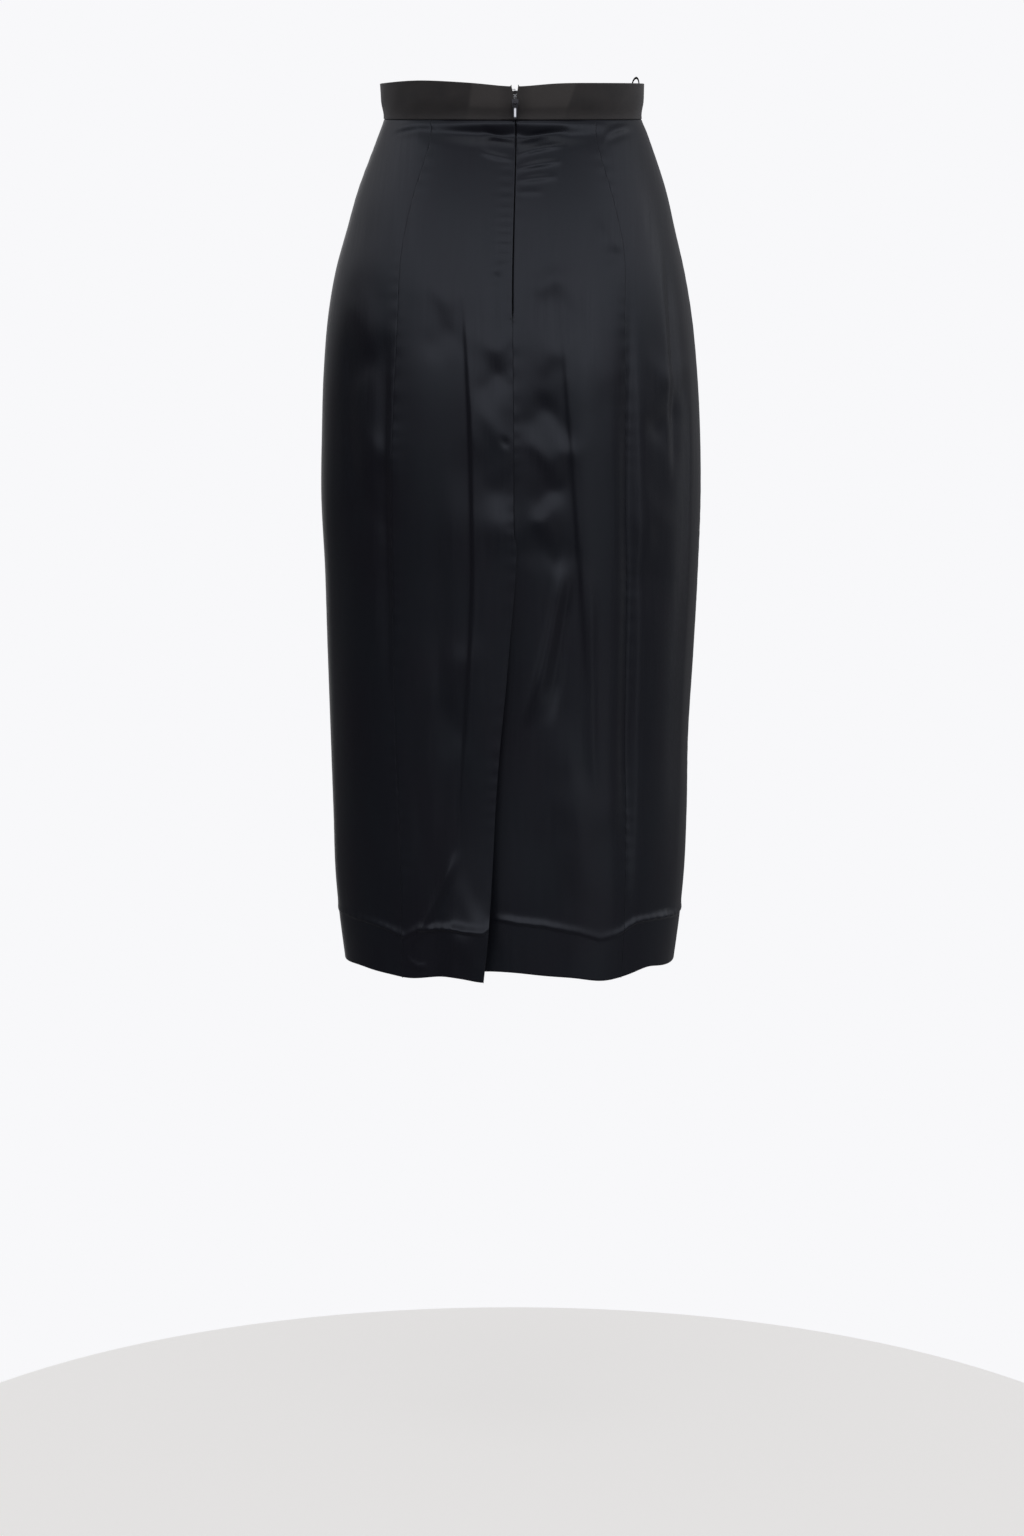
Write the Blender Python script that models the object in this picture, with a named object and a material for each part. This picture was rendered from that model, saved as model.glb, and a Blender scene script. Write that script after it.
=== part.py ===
"""A worn midi pencil skirt in silk satin, built from the pieces that a maker cuts and sews.

Metres, +Z up. The back faces +Y, the front -Y, and the wearer's left is +X.
The origin is the centre of the waist, at the height of the seam under the waistband.
The tables are in millimetres.
"""

from collections import namedtuple
from functools import lru_cache
from math import cos, exp, pi, radians, sin

import bmesh
import bpy
import numpy as np
from mathutils import Matrix, Vector

MM = 0.001

# Driving sizes, in millimetres
BAND_HEIGHT = 29.0
SKIRT_LENGTH = 699.0
HEM_TURN_UP = 38.0
ZIP_LENGTH = 186.0
SEAM_GAP = 0.3
SATIN_WALL = 1.2
HEM_WALL = 2.0
BAND_WALL = 1.8
BAND_PROUD = 0.4
TAPE_WALL = 1.0
TAPE_WIDTH = 12.0
TAPE_GAP = 0.5
CENTRE_BACK = -2.2
VENT_TOP = -332.0
UNDERLAP_TOP = -345.0
UNDERLAP_REACH = 40.0


def table(columns, *rows):
    """A short table whose rows are read by the names of its columns."""
    row_kind = namedtuple("row_kind", columns)
    return tuple(row_kind(*row) for row in rows)


# Rings of the worn shape. `square` is the power of the ring's oval, 2 for an ellipse, and `lean` moves a
# ring to the wearer's left.
SECTIONS = table(
    "height half_width back front square lean",
    (32.0, 107.8, 81.5, 84.5, 2.08, 0.0),
    (15.0, 106.9, 80.5, 83.3, 2.08, -0.3),
    (0.0, 105.4, 79.0, 82.0, 2.08, -0.6),
    (-8.0, 108.4, 82.2, 84.6, 2.10, -0.9),
    (-25.0, 114.8, 89.4, 90.4, 2.12, -0.8),
    (-58.0, 126.5, 100.6, 98.2, 2.15, 0.0),
    (-90.0, 134.9, 109.0, 103.2, 2.18, 0.8),
    (-123.0, 143.4, 115.4, 106.0, 2.20, 1.5),
    (-156.0, 149.4, 119.4, 106.6, 2.22, 1.6),
    (-205.0, 154.4, 122.0, 105.6, 2.25, 1.3),
    (-255.0, 156.9, 121.4, 103.6, 2.27, 0.8),
    (-305.0, 157.8, 119.0, 101.6, 2.28, 0.8),
    (-371.0, 155.2, 114.6, 99.6, 2.30, 0.2),
    (-439.0, 152.5, 110.6, 98.0, 2.30, 1.1),
    (-506.0, 149.7, 107.0, 97.0, 2.30, 2.0),
    (-575.0, 148.3, 104.0, 96.2, 2.30, 1.4),
    (-626.0, 146.7, 102.0, 95.4, 2.30, 1.6),
    (-660.0, 143.7, 100.0, 94.4, 2.30, 1.7),
    (-700.0, 138.8, 97.0, 92.4, 2.30, 1.9),
)

# How far the two shaped back seams lie from the middle
BACK_SEAMS = table(
    "height left right",
    (0.0, 65.5, 66.0),
    (-20.0, 67.5, 68.0),
    (-39.0, 73.0, 73.6),
    (-58.0, 78.6, 79.8),
    (-78.0, 83.2, 85.4),
    (-100.0, 87.0, 90.4),
    (-160.0, 90.6, 92.8),
    (-220.0, 94.2, 93.6),
    (-284.0, 96.6, 94.0),
    (-366.0, 97.3, 94.6),
    (-467.0, 94.6, 95.6),
    (-550.0, 91.7, 96.4),
    (-656.0, 89.6, 94.2),
    (-700.0, 89.2, 92.4),
)

# The flap's free edge, from the middle
FLAP_EDGE = table(
    "height edge",
    (-332.0, -5.0),
    (-374.0, -2.4),
    (-416.0, 0.8),
    (-457.0, 3.6),
    (-510.0, 8.1),
    (-559.0, 12.0),
    (-612.0, 14.6),
    (-656.0, 17.2),
    (-700.0, 21.4),
)

# Long folds that run down the skirt. A path is given by how far it lies from the middle at its top, its
# half-way height and its foot. The two widths are how far it spreads to the wearer's left and right.
FOLD = "top foot at_top half_way at_foot left_width right_width rise"
BACK_FOLDS = table(
    FOLD,
    (-116.0, -590.0, 38.0, 30.0, 43.0, 3.4, 24.0, 3.0),
    (-136.0, -420.0, -36.0, -47.0, -62.0, 24.0, 3.4, 2.8),
    (-100.0, -430.0, -86.0, -86.5, -93.5, 5.0, 5.5, 2.0),
    (-98.0, -310.0, -92.5, -109.0, -105.0, 5.0, 7.5, -2.8),
    (-86.0, -270.0, -124.0, -132.0, -133.0, 4.0, 8.0, -1.8),
    (-190.0, -480.0, -147.0, -146.0, -141.0, 4.0, 4.0, 1.2),
    (-180.0, -430.0, 99.0, 102.0, 98.0, 6.0, 4.0, -1.8),
    (-150.0, -330.0, 126.0, 130.0, 124.0, 9.0, 9.0, -1.4),
    (-335.0, -450.0, -30.0, -25.0, -18.0, 7.0, 6.0, 1.8),
    (-365.0, -470.0, -39.0, -38.0, -36.0, 6.0, 6.0, -1.5),
    (-578.0, -648.0, 44.0, 53.0, 70.0, 5.0, 9.0, 2.2),
)
FRONT_FOLDS = table(
    FOLD,
    (-90.0, -420.0, 34.0, 42.0, 58.0, 16.0, 9.0, 2.0),
    (-110.0, -560.0, -40.0, -46.0, -52.0, 9.0, 18.0, 2.2),
    (-200.0, -600.0, 88.0, 92.0, 84.0, 8.0, 14.0, -1.8),
    (-180.0, -520.0, -96.0, -98.0, -90.0, 14.0, 8.0, -1.8),
    (-380.0, -640.0, 6.0, 10.0, 22.0, 14.0, 14.0, 1.8),
)

# Drag wrinkles that cross the skirt under the band, each from its right end to its left end
DRAG = "from_x to_x at_from half_way at_to up_width down_width rise"
BACK_DRAGS = table(
    DRAG,
    (4.0, 64.0, -12.0, -4.6, -8.5, 3.0, 4.0, -1.8),
    (66.0, 96.0, -7.0, -7.0, -13.0, 3.0, 3.5, -1.3),
    (-66.0, -5.0, -10.0, -6.0, -20.0, 3.0, 4.0, -1.8),
    (-96.0, -72.0, -8.5, -11.0, -16.0, 3.0, 3.5, -1.2),
    (-62.0, 60.0, -20.0, -17.0, -19.0, 5.0, 7.0, 0.9),
)
FRONT_DRAGS = table(
    DRAG,
    (-70.0, -8.0, -10.0, -7.0, -12.0, 3.0, 4.0, -1.3),
    (10.0, 66.0, -13.0, -7.5, -9.0, 3.0, 4.0, -1.2),
)

# Folds and drags die away over their ends, at the side seams and just under the band.
END_FADE = 4
SIDE_FADE = 14
WAIST_FADE = 3.0

# Gentle dips and rises of the hem. The flap and the underlap have their own.
HEM_WAVE = "middle width rise"
HEM_WAVE_TOP = -600.0
BACK_HEM = table(
    HEM_WAVE,
    (52.0, 14.0, 1.2),
    (84.0, 16.0, -2.4),
    (130.0, 14.0, 2.4),
    (-78.0, 20.0, -4.2),
    (-116.0, 12.0, 3.2),
)
FLAP_HEM = table(HEM_WAVE, (21.0, 14.0, -2.4))
UNDERLAP_HEM = table(HEM_WAVE, (8.0, 38.0, 5.5))
FRONT_HEM = table(
    HEM_WAVE,
    (-60.0, 40.0, -1.5),
    (70.0, 34.0, -2.0),
)

# Where the turned-up edge is caught to the cloth, and over how much the wall thickens there
HEM_LINE = -SKIRT_LENGTH + HEM_TURN_UP
HEM_STEP = 3.0

# Heights of the rows that every panel shares, so that its neighbours meet it edge to edge
PANEL_ROWS = (
    -SEAM_GAP, -4.0, -8.0, -13.0, -19.0, -27.0, -38.0, -52.0, -70.0, -92.0, -115.0, -140.0, -167.0, -195.0,
    -225.0, -258.0, -294.0, VENT_TOP, UNDERLAP_TOP, -375.0, -408.0, -442.0, -478.0, -514.0, -550.0, -585.0,
    -612.0, -636.0, HEM_LINE + 5.0, HEM_LINE - 2.0, -682.0, -SKIRT_LENGTH,
)
VENT_ROW = PANEL_ROWS.index(UNDERLAP_TOP)

# The flap leaves the skirt's face over this height above the vent, and comes back to it beside the
# underlap over `FLAP_EASE`. It gapes most at its free edge and at the hem.
FLAP_START = 60.0
FLAP_EASE = (UNDERLAP_REACH + 3.0, UNDERLAP_REACH + 22.0)
FLAP_GAPE = 2.6
FLAP_GAPE_WIDTH = 26.0
FLAP_CLEARANCE = SEAM_GAP + 0.2

# Samples along half a ring
RING_SAMPLES = 721

# Columns across each piece
BACK_COLUMNS = 16
SIDE_COLUMNS = 9
FRONT_COLUMNS = 24
UNDERLAP_COLUMNS = 5
BAND_COLUMNS = 56
TAPE_COLUMNS = 3

# The slit in the band at the centre back: a notch over the hook, then a slot for the slider
BAND_ROWS = table(
    "share slit",
    (1.0, 5.2),
    (0.82, 3.6),
    (0.66, 2.6),
    (0.52, 1.4),
    (0.26, 1.4),
    (0.0, 1.0),
)

# The band's top edge dips at the zip and at the front, and rises over the wearer's left back.
BAND_TOP_WAVES = table(
    "from_zip width rise",
    (0.0, 26.0, -2.8),
    (80.0, 36.0, 2.0),
    (300.0, 100.0, -6.0),
    (-300.0, 100.0, -6.0),
)

# The zip tapes cross from behind the satin to behind the band, and reach up it.
BAND_CROSSING = (-12.0, -1.0)
TAPE_TOP_ROWS = (18.0, 9.0, 1.0)

# The slider and its pull
SLIDER_LENGTH = 6.8
SLIDER_SHOULDER = 5.8
SLIDER_FOOT = 4.2
SLIDER_WALL = 1.3
SLIDER_ROUNDING = 0.9
SLIDER_MIDDLE = 12.8
NECK_WIDTH = 0.8
NECK_LENGTH = 3.6
BRIDGE_WIDTH = 1.2
BRIDGE_WIRE = 0.7
BRIDGE_STEPS = 8
ROOT = 0.4
PULL_ROD = 0.45
PULL_PLAY = 0.3
PULL_WIDTH = 4.2
PULL_ARM = 1.0
PULL_WALL = 0.8
PULL_ROUNDING = 0.22
PULL_TILT = radians(2.0)

# The pull's outline from its rod down. The window for the bridge is between its second and third rows.
PULL_ROWS = table(
    "below width",
    (-0.32, 1.0),
    (0.32, 1.0),
    (1.9, 1.0),
    (4.9, 1.0),
    (11.6, 0.86),
    (12.8, 0.55),
)

# The hook, its eye and the hanging loop
EYE_RADIUS = 1.9
EYE_HEIGHT = 21.0
WIRE_RADIUS = 0.35
WIRE_SIDES = 6
EYE_STEPS = 16
HOOK_SHANK = (6.5, 4.0, 1.6)
HOOK_TURN = radians(200.0)
HOOK_STEPS = 6
LOOP_RADIUS = 0.8
LOOP_RISE = 5.0
LOOP_LEGS = (-134.0, -116.0)
LOOP_DEPTH = 20.0
LOOP_FLATNESS = 0.75
LOOP_STEPS = 10

# Finishes: the colour is linear
Finish = namedtuple("Finish", "name colour roughness metallic")
SATIN = Finish("silk satin", (0.0075, 0.0085, 0.0115), 0.32, 0.0)
RIBBON = Finish("ribbed ribbon", (0.022, 0.021, 0.021), 0.75, 0.0)
TAPE = Finish("zip tape", (0.010, 0.010, 0.012), 0.85, 0.0)
BLACK_NICKEL = Finish("black nickel", (0.030, 0.030, 0.033), 0.22, 1.0)
STEEL = Finish("bright steel wire", (0.60, 0.60, 0.60), 0.25, 1.0)


def clear_scene():
    for obj in list(bpy.data.objects):
        bpy.data.objects.remove(obj, do_unlink=True)


def own_material(piece, finish):
    """Each piece has a Principled material of its own."""
    material = bpy.data.materials.new(f"{finish.name} of {piece}")
    material.use_nodes = True
    shader = material.node_tree.nodes["Principled BSDF"]
    shader.inputs["Base Color"].default_value = (*finish.colour, 1.0)
    shader.inputs["Roughness"].default_value = finish.roughness
    shader.inputs["Metallic"].default_value = finish.metallic
    material.diffuse_color = (*finish.colour, 1.0)
    return material


def add_object(name, data, finish):
    data.materials.append(own_material(name, finish))
    obj = bpy.data.objects.new(name, data)
    bpy.context.scene.collection.objects.link(obj)
    return obj


def add_mesh(name, bm, finish):
    """Closes a bmesh into a named object, faces out and shaded smooth."""
    bmesh.ops.recalc_face_normals(bm, faces=bm.faces[:])
    if bm.calc_volume(signed=True) < 0.0:
        bmesh.ops.reverse_faces(bm, faces=bm.faces[:])
    mesh = bpy.data.meshes.new(name)
    bm.to_mesh(mesh)
    bm.free()
    mesh.shade_smooth()
    mesh.set_sharp_from_angle(angle=radians(40))
    return add_object(name, mesh, finish)


def ease(low, high, value):
    """Rises smoothly from 0 at `low` to 1 at `high`."""
    t = min(max((value - low) / (high - low), 0.0), 1.0)
    return t * t * (3.0 - 2.0 * t)


@lru_cache(maxsize=None)
def column(rows, name, height):
    """A table's named column at a height, on a smooth curve through its rows."""
    rows = sorted(rows)
    at = np.array([row.height for row in rows])
    value = np.array([getattr(row, name) for row in rows])
    slope = np.gradient(value, at)
    i = int(np.clip(np.searchsorted(at, height) - 1, 0, len(at) - 2))
    span = at[i + 1] - at[i]
    t = min(max((height - at[i]) / span, 0.0), 1.0)
    start = (1 + 2 * t) * (1 - t) ** 2 * value[i] + t * (1 - t) ** 2 * span * slope[i]
    end = t * t * (3 - 2 * t) * value[i + 1] + t * t * (t - 1) * span * slope[i + 1]
    return float(start + end)


@lru_cache(maxsize=None)
def ring(height):
    """The left half of the ring at a height: arc length from the centre back, place and outward normal."""
    names = ("half_width", "back", "front", "square")
    half_width, back, front, square = (column(SECTIONS, name, height) for name in names)
    angle = np.linspace(0.0, pi, RING_SAMPLES)
    reach = np.where(angle <= pi / 2, back, front)
    x = half_width * np.abs(np.sin(angle)) ** (2 / square)
    y = reach * np.sign(np.cos(angle)) * np.abs(np.cos(angle)) ** (2 / square)
    arc = np.concatenate(([0.0], np.cumsum(np.hypot(np.diff(x), np.diff(y)))))
    along_x = np.gradient(x, arc)
    along_y = np.gradient(y, arc)
    long = np.hypot(along_x, along_y)
    return arc, x, y, -along_y / long, along_x / long


def arc_at_back(height, across):
    """The arc length from the centre back at which the back lies `across` from the middle."""
    arc, x, _, _, _ = ring(height)
    back = len(arc) // 2 + 1
    return float(np.copysign(np.interp(abs(across), x[:back], arc[:back]), across))


def side_arc(height):
    arc = ring(height)[0]
    return float(arc[len(arc) // 2])


def full_arc(height):
    return float(2.0 * ring(height)[0][-1])


def one_sided(distance, minus_width, plus_width):
    """A rounded ridge across a line, with its own width on each side."""
    return hump(distance, plus_width if distance > 0.0 else minus_width)


def bow(t, first, middle, last):
    """The curve through three evenly spaced values."""
    return first * (1 - t) * (1 - 2 * t) + 4 * middle * t * (1 - t) + last * t * (2 * t - 1)


def relief(across, height, is_back, half_width):
    """How far the cloth stands out from its ring, from the folds and the drag wrinkles."""
    out = 0.0
    for fold in BACK_FOLDS if is_back else FRONT_FOLDS:
        t = (fold.top - height) / (fold.top - fold.foot)
        if 0.0 < t < 1.0:
            from_line = across - bow(t, fold.at_top, fold.half_way, fold.at_foot)
            ends = 1.0 - (2.0 * t - 1.0) ** END_FADE
            out += fold.rise * ends * one_sided(from_line, fold.right_width, fold.left_width)
    for drag in BACK_DRAGS if is_back else FRONT_DRAGS:
        t = (across - drag.from_x) / (drag.to_x - drag.from_x)
        if 0.0 < t < 1.0:
            from_line = height - bow(t, drag.at_from, drag.half_way, drag.at_to)
            ends = 1.0 - (2.0 * t - 1.0) ** END_FADE
            out += drag.rise * ends * one_sided(from_line, drag.down_width, drag.up_width)
    return out * side_fade(across, half_width) * ease(0.0, WAIST_FADE, -height)


def side_fade(across, half_width):
    return 1.0 - min(abs(across) / half_width, 1.0) ** SIDE_FADE


def hump(distance, width):
    return float(np.exp(-((distance / width) ** 2)))


def hem_rise(across, half_width, waves):
    """How far the hem dips or rises at a place across the skirt."""
    rise = sum(wave.rise * hump(across - wave.middle, wave.width) for wave in waves)
    return rise * side_fade(across, half_width)


def skin(height, arc, out=0.0, folded=1.0, own_hem=()):
    """A point on the worn outer face, `arc` from the centre back and moved out by `out`.

    `folded` scales the folds, and `own_hem` adds a piece's own waves to its hem.
    """
    around = arc - full_arc(height) if arc > full_arc(height) / 2 else arc
    arcs, xs, ys, normal_x, normal_y = ring(height)
    x, y, nx, ny = (float(np.interp(abs(around), arcs, values)) for values in (xs, ys, normal_x, normal_y))
    side = -1.0 if around < 0.0 else 1.0
    is_back = y > 0.0
    half_width = column(SECTIONS, "half_width", height)
    if height < 0.0:
        out += folded * relief(side * x, height, is_back, half_width)
    waves = (BACK_HEM if is_back else FRONT_HEM) + own_hem
    z = height + hem_rise(side * x, half_width, waves) * ease(HEM_WAVE_TOP, -SKIRT_LENGTH, height)
    lean = column(SECTIONS, "lean", height)
    return Vector((side * (x + nx * out) + lean, y + ny * out, z)) * MM


def satin_wall(height):
    """The wall is thicker where the hem is turned up inside."""
    return SATIN_WALL + (HEM_WALL - SATIN_WALL) * ease(HEM_LINE + HEM_STEP, HEM_LINE - HEM_STEP, height)


def slab(columns, rows):
    """A flat closed block of `columns` by `rows` cells: x counts columns, y counts rows, z is 0 in, 1 out."""
    bm = bmesh.new()
    bmesh.ops.create_grid(bm, x_segments=columns, y_segments=rows, size=0.5)
    for vert in bm.verts:
        vert.co = Vector((round((vert.co.x + 0.5) * columns), round((0.5 - vert.co.y) * rows), 0.0))
    return bm


def thicken(bm):
    outer = bmesh.ops.extrude_face_region(bm, geom=bm.faces[:])["geom"]
    for element in outer:
        if isinstance(element, bmesh.types.BMVert):
            element.co.z = 1.0


def place(bm, mapping):
    for vert in bm.verts:
        vert.co = mapping(vert.co.x, round(vert.co.y), vert.co.z)


def sewn_panel(name, columns, first_arc, last_arc, lift=None, own_hem=()):
    """A panel between two seams, given by their arc lengths at each height."""
    bm = slab(columns, len(PANEL_ROWS) - 1)
    thicken(bm)

    def mapping(across, row, outer):
        height = PANEL_ROWS[row]
        share = across / columns
        arc = (1.0 - share) * first_arc(height) + share * last_arc(height)
        raised = lift(arc, height) if lift else 0.0
        return skin(height, arc, raised - (1.0 - outer) * satin_wall(height), own_hem=own_hem)

    place(bm, mapping)
    return add_mesh(name, bm, SATIN)


def back_seam_arc(height, side, gap):
    """The shaped back seam's arc length, with `gap` added towards the side."""
    name = "left" if side > 0 else "right"
    return side * (arc_at_back(height, column(BACK_SEAMS, name, height)) + gap)


def centre_arc(height, gap):
    return arc_at_back(height, CENTRE_BACK) + gap


def flap_edge_arc(height):
    """The left back's inner edge: the centre seam, then the vent flap's free edge below it."""
    if height >= VENT_TOP:
        return centre_arc(height, SEAM_GAP / 2)
    return arc_at_back(height, column(FLAP_EDGE, "edge", height))


def flap_lift(arc, height):
    """The flap lies over the underlap, so it stands out by the underlap's wall, and gapes towards the hem."""
    over_wall = satin_wall(height) + FLAP_CLEARANCE
    down = ease(VENT_TOP + FLAP_START, VENT_TOP, height)
    across = 1.0 - ease(*FLAP_EASE, arc)
    open_below = ease(VENT_TOP - FLAP_START, -SKIRT_LENGTH, height)
    gape = FLAP_GAPE * open_below * exp(-max(arc, 0.0) / FLAP_GAPE_WIDTH)
    return (over_wall + gape) * down * across


def make_back_left():
    return sewn_panel(
        "back_left",
        BACK_COLUMNS,
        flap_edge_arc,
        lambda height: back_seam_arc(height, 1.0, -SEAM_GAP / 2),
        lift=flap_lift,
        own_hem=FLAP_HEM,
    )


def make_back_right():
    """The right back, with the underlap cut on below the top of the vent."""
    bm = slab(BACK_COLUMNS, len(PANEL_ROWS) - 1)
    for _ in range(UNDERLAP_COLUMNS):
        reach = max(vert.co.x for vert in bm.verts)
        edges = [
            edge
            for edge in bm.edges
            if edge.is_boundary and all(v.co.x == reach and v.co.y >= VENT_ROW for v in edge.verts)
        ]
        grown = bmesh.ops.extrude_edge_only(bm, edges=edges)["geom"]
        for element in grown:
            if isinstance(element, bmesh.types.BMVert):
                element.co.x += 1.0
    thicken(bm)

    def mapping(across, row, outer):
        height = PANEL_ROWS[row]
        seam = back_seam_arc(height, -1.0, -SEAM_GAP / 2)
        centre = centre_arc(height, -SEAM_GAP / 2)
        if across <= BACK_COLUMNS:
            share = across / BACK_COLUMNS
            arc = (1.0 - share) * seam + share * centre
        else:
            share = (across - BACK_COLUMNS) / UNDERLAP_COLUMNS
            arc = (1.0 - share) * centre + share * UNDERLAP_REACH
        folded = 1.0 - ease(CENTRE_BACK, UNDERLAP_REACH / 2, arc)
        return skin(height, arc, -(1.0 - outer) * satin_wall(height), folded, UNDERLAP_HEM)

    place(bm, mapping)
    return add_mesh("back_right", bm, SATIN)


def make_side_back(name, side):
    return sewn_panel(
        name,
        SIDE_COLUMNS,
        lambda height: back_seam_arc(height, side, SEAM_GAP / 2),
        lambda height: side * (side_arc(height) - SEAM_GAP / 2),
    )


def make_front():
    return sewn_panel(
        "front",
        FRONT_COLUMNS,
        lambda height: side_arc(height) + SEAM_GAP / 2,
        lambda height: full_arc(height) - side_arc(height) - SEAM_GAP / 2,
    )


def band_top(arc, height):
    """The height of the band's top edge at a place round the waist."""
    whole = full_arc(height)
    from_zip = arc - CENTRE_BACK - (whole if arc > whole / 2 else 0.0)
    waves = (wave.rise * hump(from_zip - wave.from_zip, wave.width) for wave in BAND_TOP_WAVES)
    return BAND_HEIGHT + sum(waves)


def make_waistband():
    bm = slab(BAND_COLUMNS, len(BAND_ROWS) - 1)
    thicken(bm)

    def mapping(across, row, outer):
        share_up, slit = BAND_ROWS[row]
        ring_height = share_up * BAND_HEIGHT
        first = CENTRE_BACK + slit / 2
        last = full_arc(ring_height) + CENTRE_BACK - slit / 2
        share = across / BAND_COLUMNS
        arc = (1.0 - share) * first + share * last
        point = skin(ring_height, arc, BAND_PROUD - (1.0 - outer) * BAND_WALL)
        point.z = share_up * band_top(arc, ring_height) * MM
        return point

    place(bm, mapping)
    return add_mesh("waistband", bm, RIBBON)


def inside_face(height):
    """How far in from the skirt's outer face the zip lies: behind the band, then behind the satin."""
    behind_band = BAND_WALL - BAND_PROUD + TAPE_GAP
    behind_satin = SATIN_WALL + TAPE_GAP
    return behind_satin + (behind_band - behind_satin) * ease(*BAND_CROSSING, height)


def make_zip_tape(name, side):
    """One of the two tapes that lie behind the opening's edges."""
    behind_satin = [height for height in PANEL_ROWS if -ZIP_LENGTH < height < BAND_CROSSING[1]]
    rows = [*TAPE_TOP_ROWS, *behind_satin, -ZIP_LENGTH]
    bm = slab(TAPE_COLUMNS, len(rows) - 1)
    thicken(bm)

    def mapping(across, row, outer):
        height = rows[row]
        middle = arc_at_back(height, CENTRE_BACK)
        arc = middle + side * (SEAM_GAP / 2 + TAPE_WIDTH * across / TAPE_COLUMNS)
        return skin(height, arc, -inside_face(height) - (1.0 - outer) * TAPE_WALL)

    place(bm, mapping)
    return add_mesh(name, bm, TAPE)


def zip_face():
    """The band's outer face at the zip, at the slider's top, where the flaring band stands out furthest."""
    return skin(SLIDER_MIDDLE + SLIDER_LENGTH / 2, CENTRE_BACK, BAND_PROUD) / MM


def pull_axis():
    """The rod's centre, where the pull hangs in the slider's bridge."""
    face = zip_face()
    out = SEAM_GAP + SLIDER_WALL + PULL_PLAY + PULL_ROD
    return Vector((face.x, face.y + out, SLIDER_MIDDLE)) * MM


def box(bm, low, high):
    """A box between two corners."""
    low = Vector(low)
    high = Vector(high)
    made = bmesh.ops.create_cube(bm, size=1.0)
    size = high - low
    bmesh.ops.scale(bm, vec=size, verts=made["verts"])
    bmesh.ops.translate(bm, vec=(low + high) / 2, verts=made["verts"])
    return made["verts"]


def metres(bm):
    bmesh.ops.scale(bm, vec=(MM, MM, MM), verts=bm.verts[:])


def join(target, name, bm):
    """Joins a helper solid, in millimetres, to a piece."""
    bmesh.ops.recalc_face_normals(bm, faces=bm.faces[:])
    metres(bm)
    helper = add_mesh(name, bm, BLACK_NICKEL)
    helper.hide_render = True
    helper.display_type = "WIRE"
    union = target.modifiers.new(name, "BOOLEAN")
    union.operation = "UNION"
    union.solver = "EXACT"
    union.object = helper


def make_zip_slider():
    """A tapered plate on the band, a neck through the slit, and a round bridge that holds the pull."""
    face = zip_face()
    plate_in = face.y + SEAM_GAP
    plate_out = plate_in + SLIDER_WALL
    bm = bmesh.new()
    plate = box(
        bm,
        (face.x - SLIDER_SHOULDER / 2, plate_in, SLIDER_MIDDLE - SLIDER_LENGTH / 2),
        (face.x + SLIDER_SHOULDER / 2, plate_out, SLIDER_MIDDLE + SLIDER_LENGTH / 2),
    )
    for vert in plate:
        if vert.co.z < SLIDER_MIDDLE:
            vert.co.x = face.x + (vert.co.x - face.x) * SLIDER_FOOT / SLIDER_SHOULDER
    upright = [edge for edge in bm.edges if abs(edge.verts[0].co.y - edge.verts[1].co.y) > SLIDER_WALL / 2]
    bmesh.ops.bevel(
        bm, geom=upright, offset=SLIDER_ROUNDING, segments=2, affect="EDGES", profile=0.5, material=-1
    )
    metres(bm)
    slider = add_mesh("zip_slider", bm, BLACK_NICKEL)

    # The neck ends just short of the tapes, behind the band.
    neck = bmesh.new()
    box(
        neck,
        (face.x - NECK_WIDTH / 2, face.y - BAND_WALL, SLIDER_MIDDLE - NECK_LENGTH / 2),
        (face.x + NECK_WIDTH / 2, plate_in + ROOT, SLIDER_MIDDLE + NECK_LENGTH / 2),
    )
    join(slider, "slider_neck", neck)
    join(slider, "slider_bridge", bridge_over(plate_out - ROOT))
    return slider


def bridge_over(root):
    """A half ring about the pull's rod, on two short legs that start at `root`."""
    axis = pull_axis() / MM
    inner_radius = PULL_ROD + PULL_PLAY
    bm = bmesh.new()
    box(
        bm,
        (axis.x - BRIDGE_WIDTH / 2, root, axis.z + inner_radius),
        (axis.x + BRIDGE_WIDTH / 2, axis.y, axis.z + inner_radius + BRIDGE_WIRE),
    )
    end = max(bm.faces, key=lambda face: face.calc_center_median().y)
    turned = bmesh.ops.spin(
        bm,
        geom=[end],
        cent=axis,
        axis=(1.0, 0.0, 0.0),
        angle=-pi,
        steps=BRIDGE_STEPS,
        use_duplicate=False,
    )["geom_last"]
    bmesh.ops.delete(bm, geom=[end], context="FACES_ONLY")
    last = [element for element in turned if isinstance(element, bmesh.types.BMFace)]
    leg = bmesh.ops.extrude_face_region(bm, geom=last)["geom"]
    bmesh.ops.delete(bm, geom=last, context="FACES_ONLY")
    for element in leg:
        if isinstance(element, bmesh.types.BMVert):
            element.co.y = root
    return bm


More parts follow.
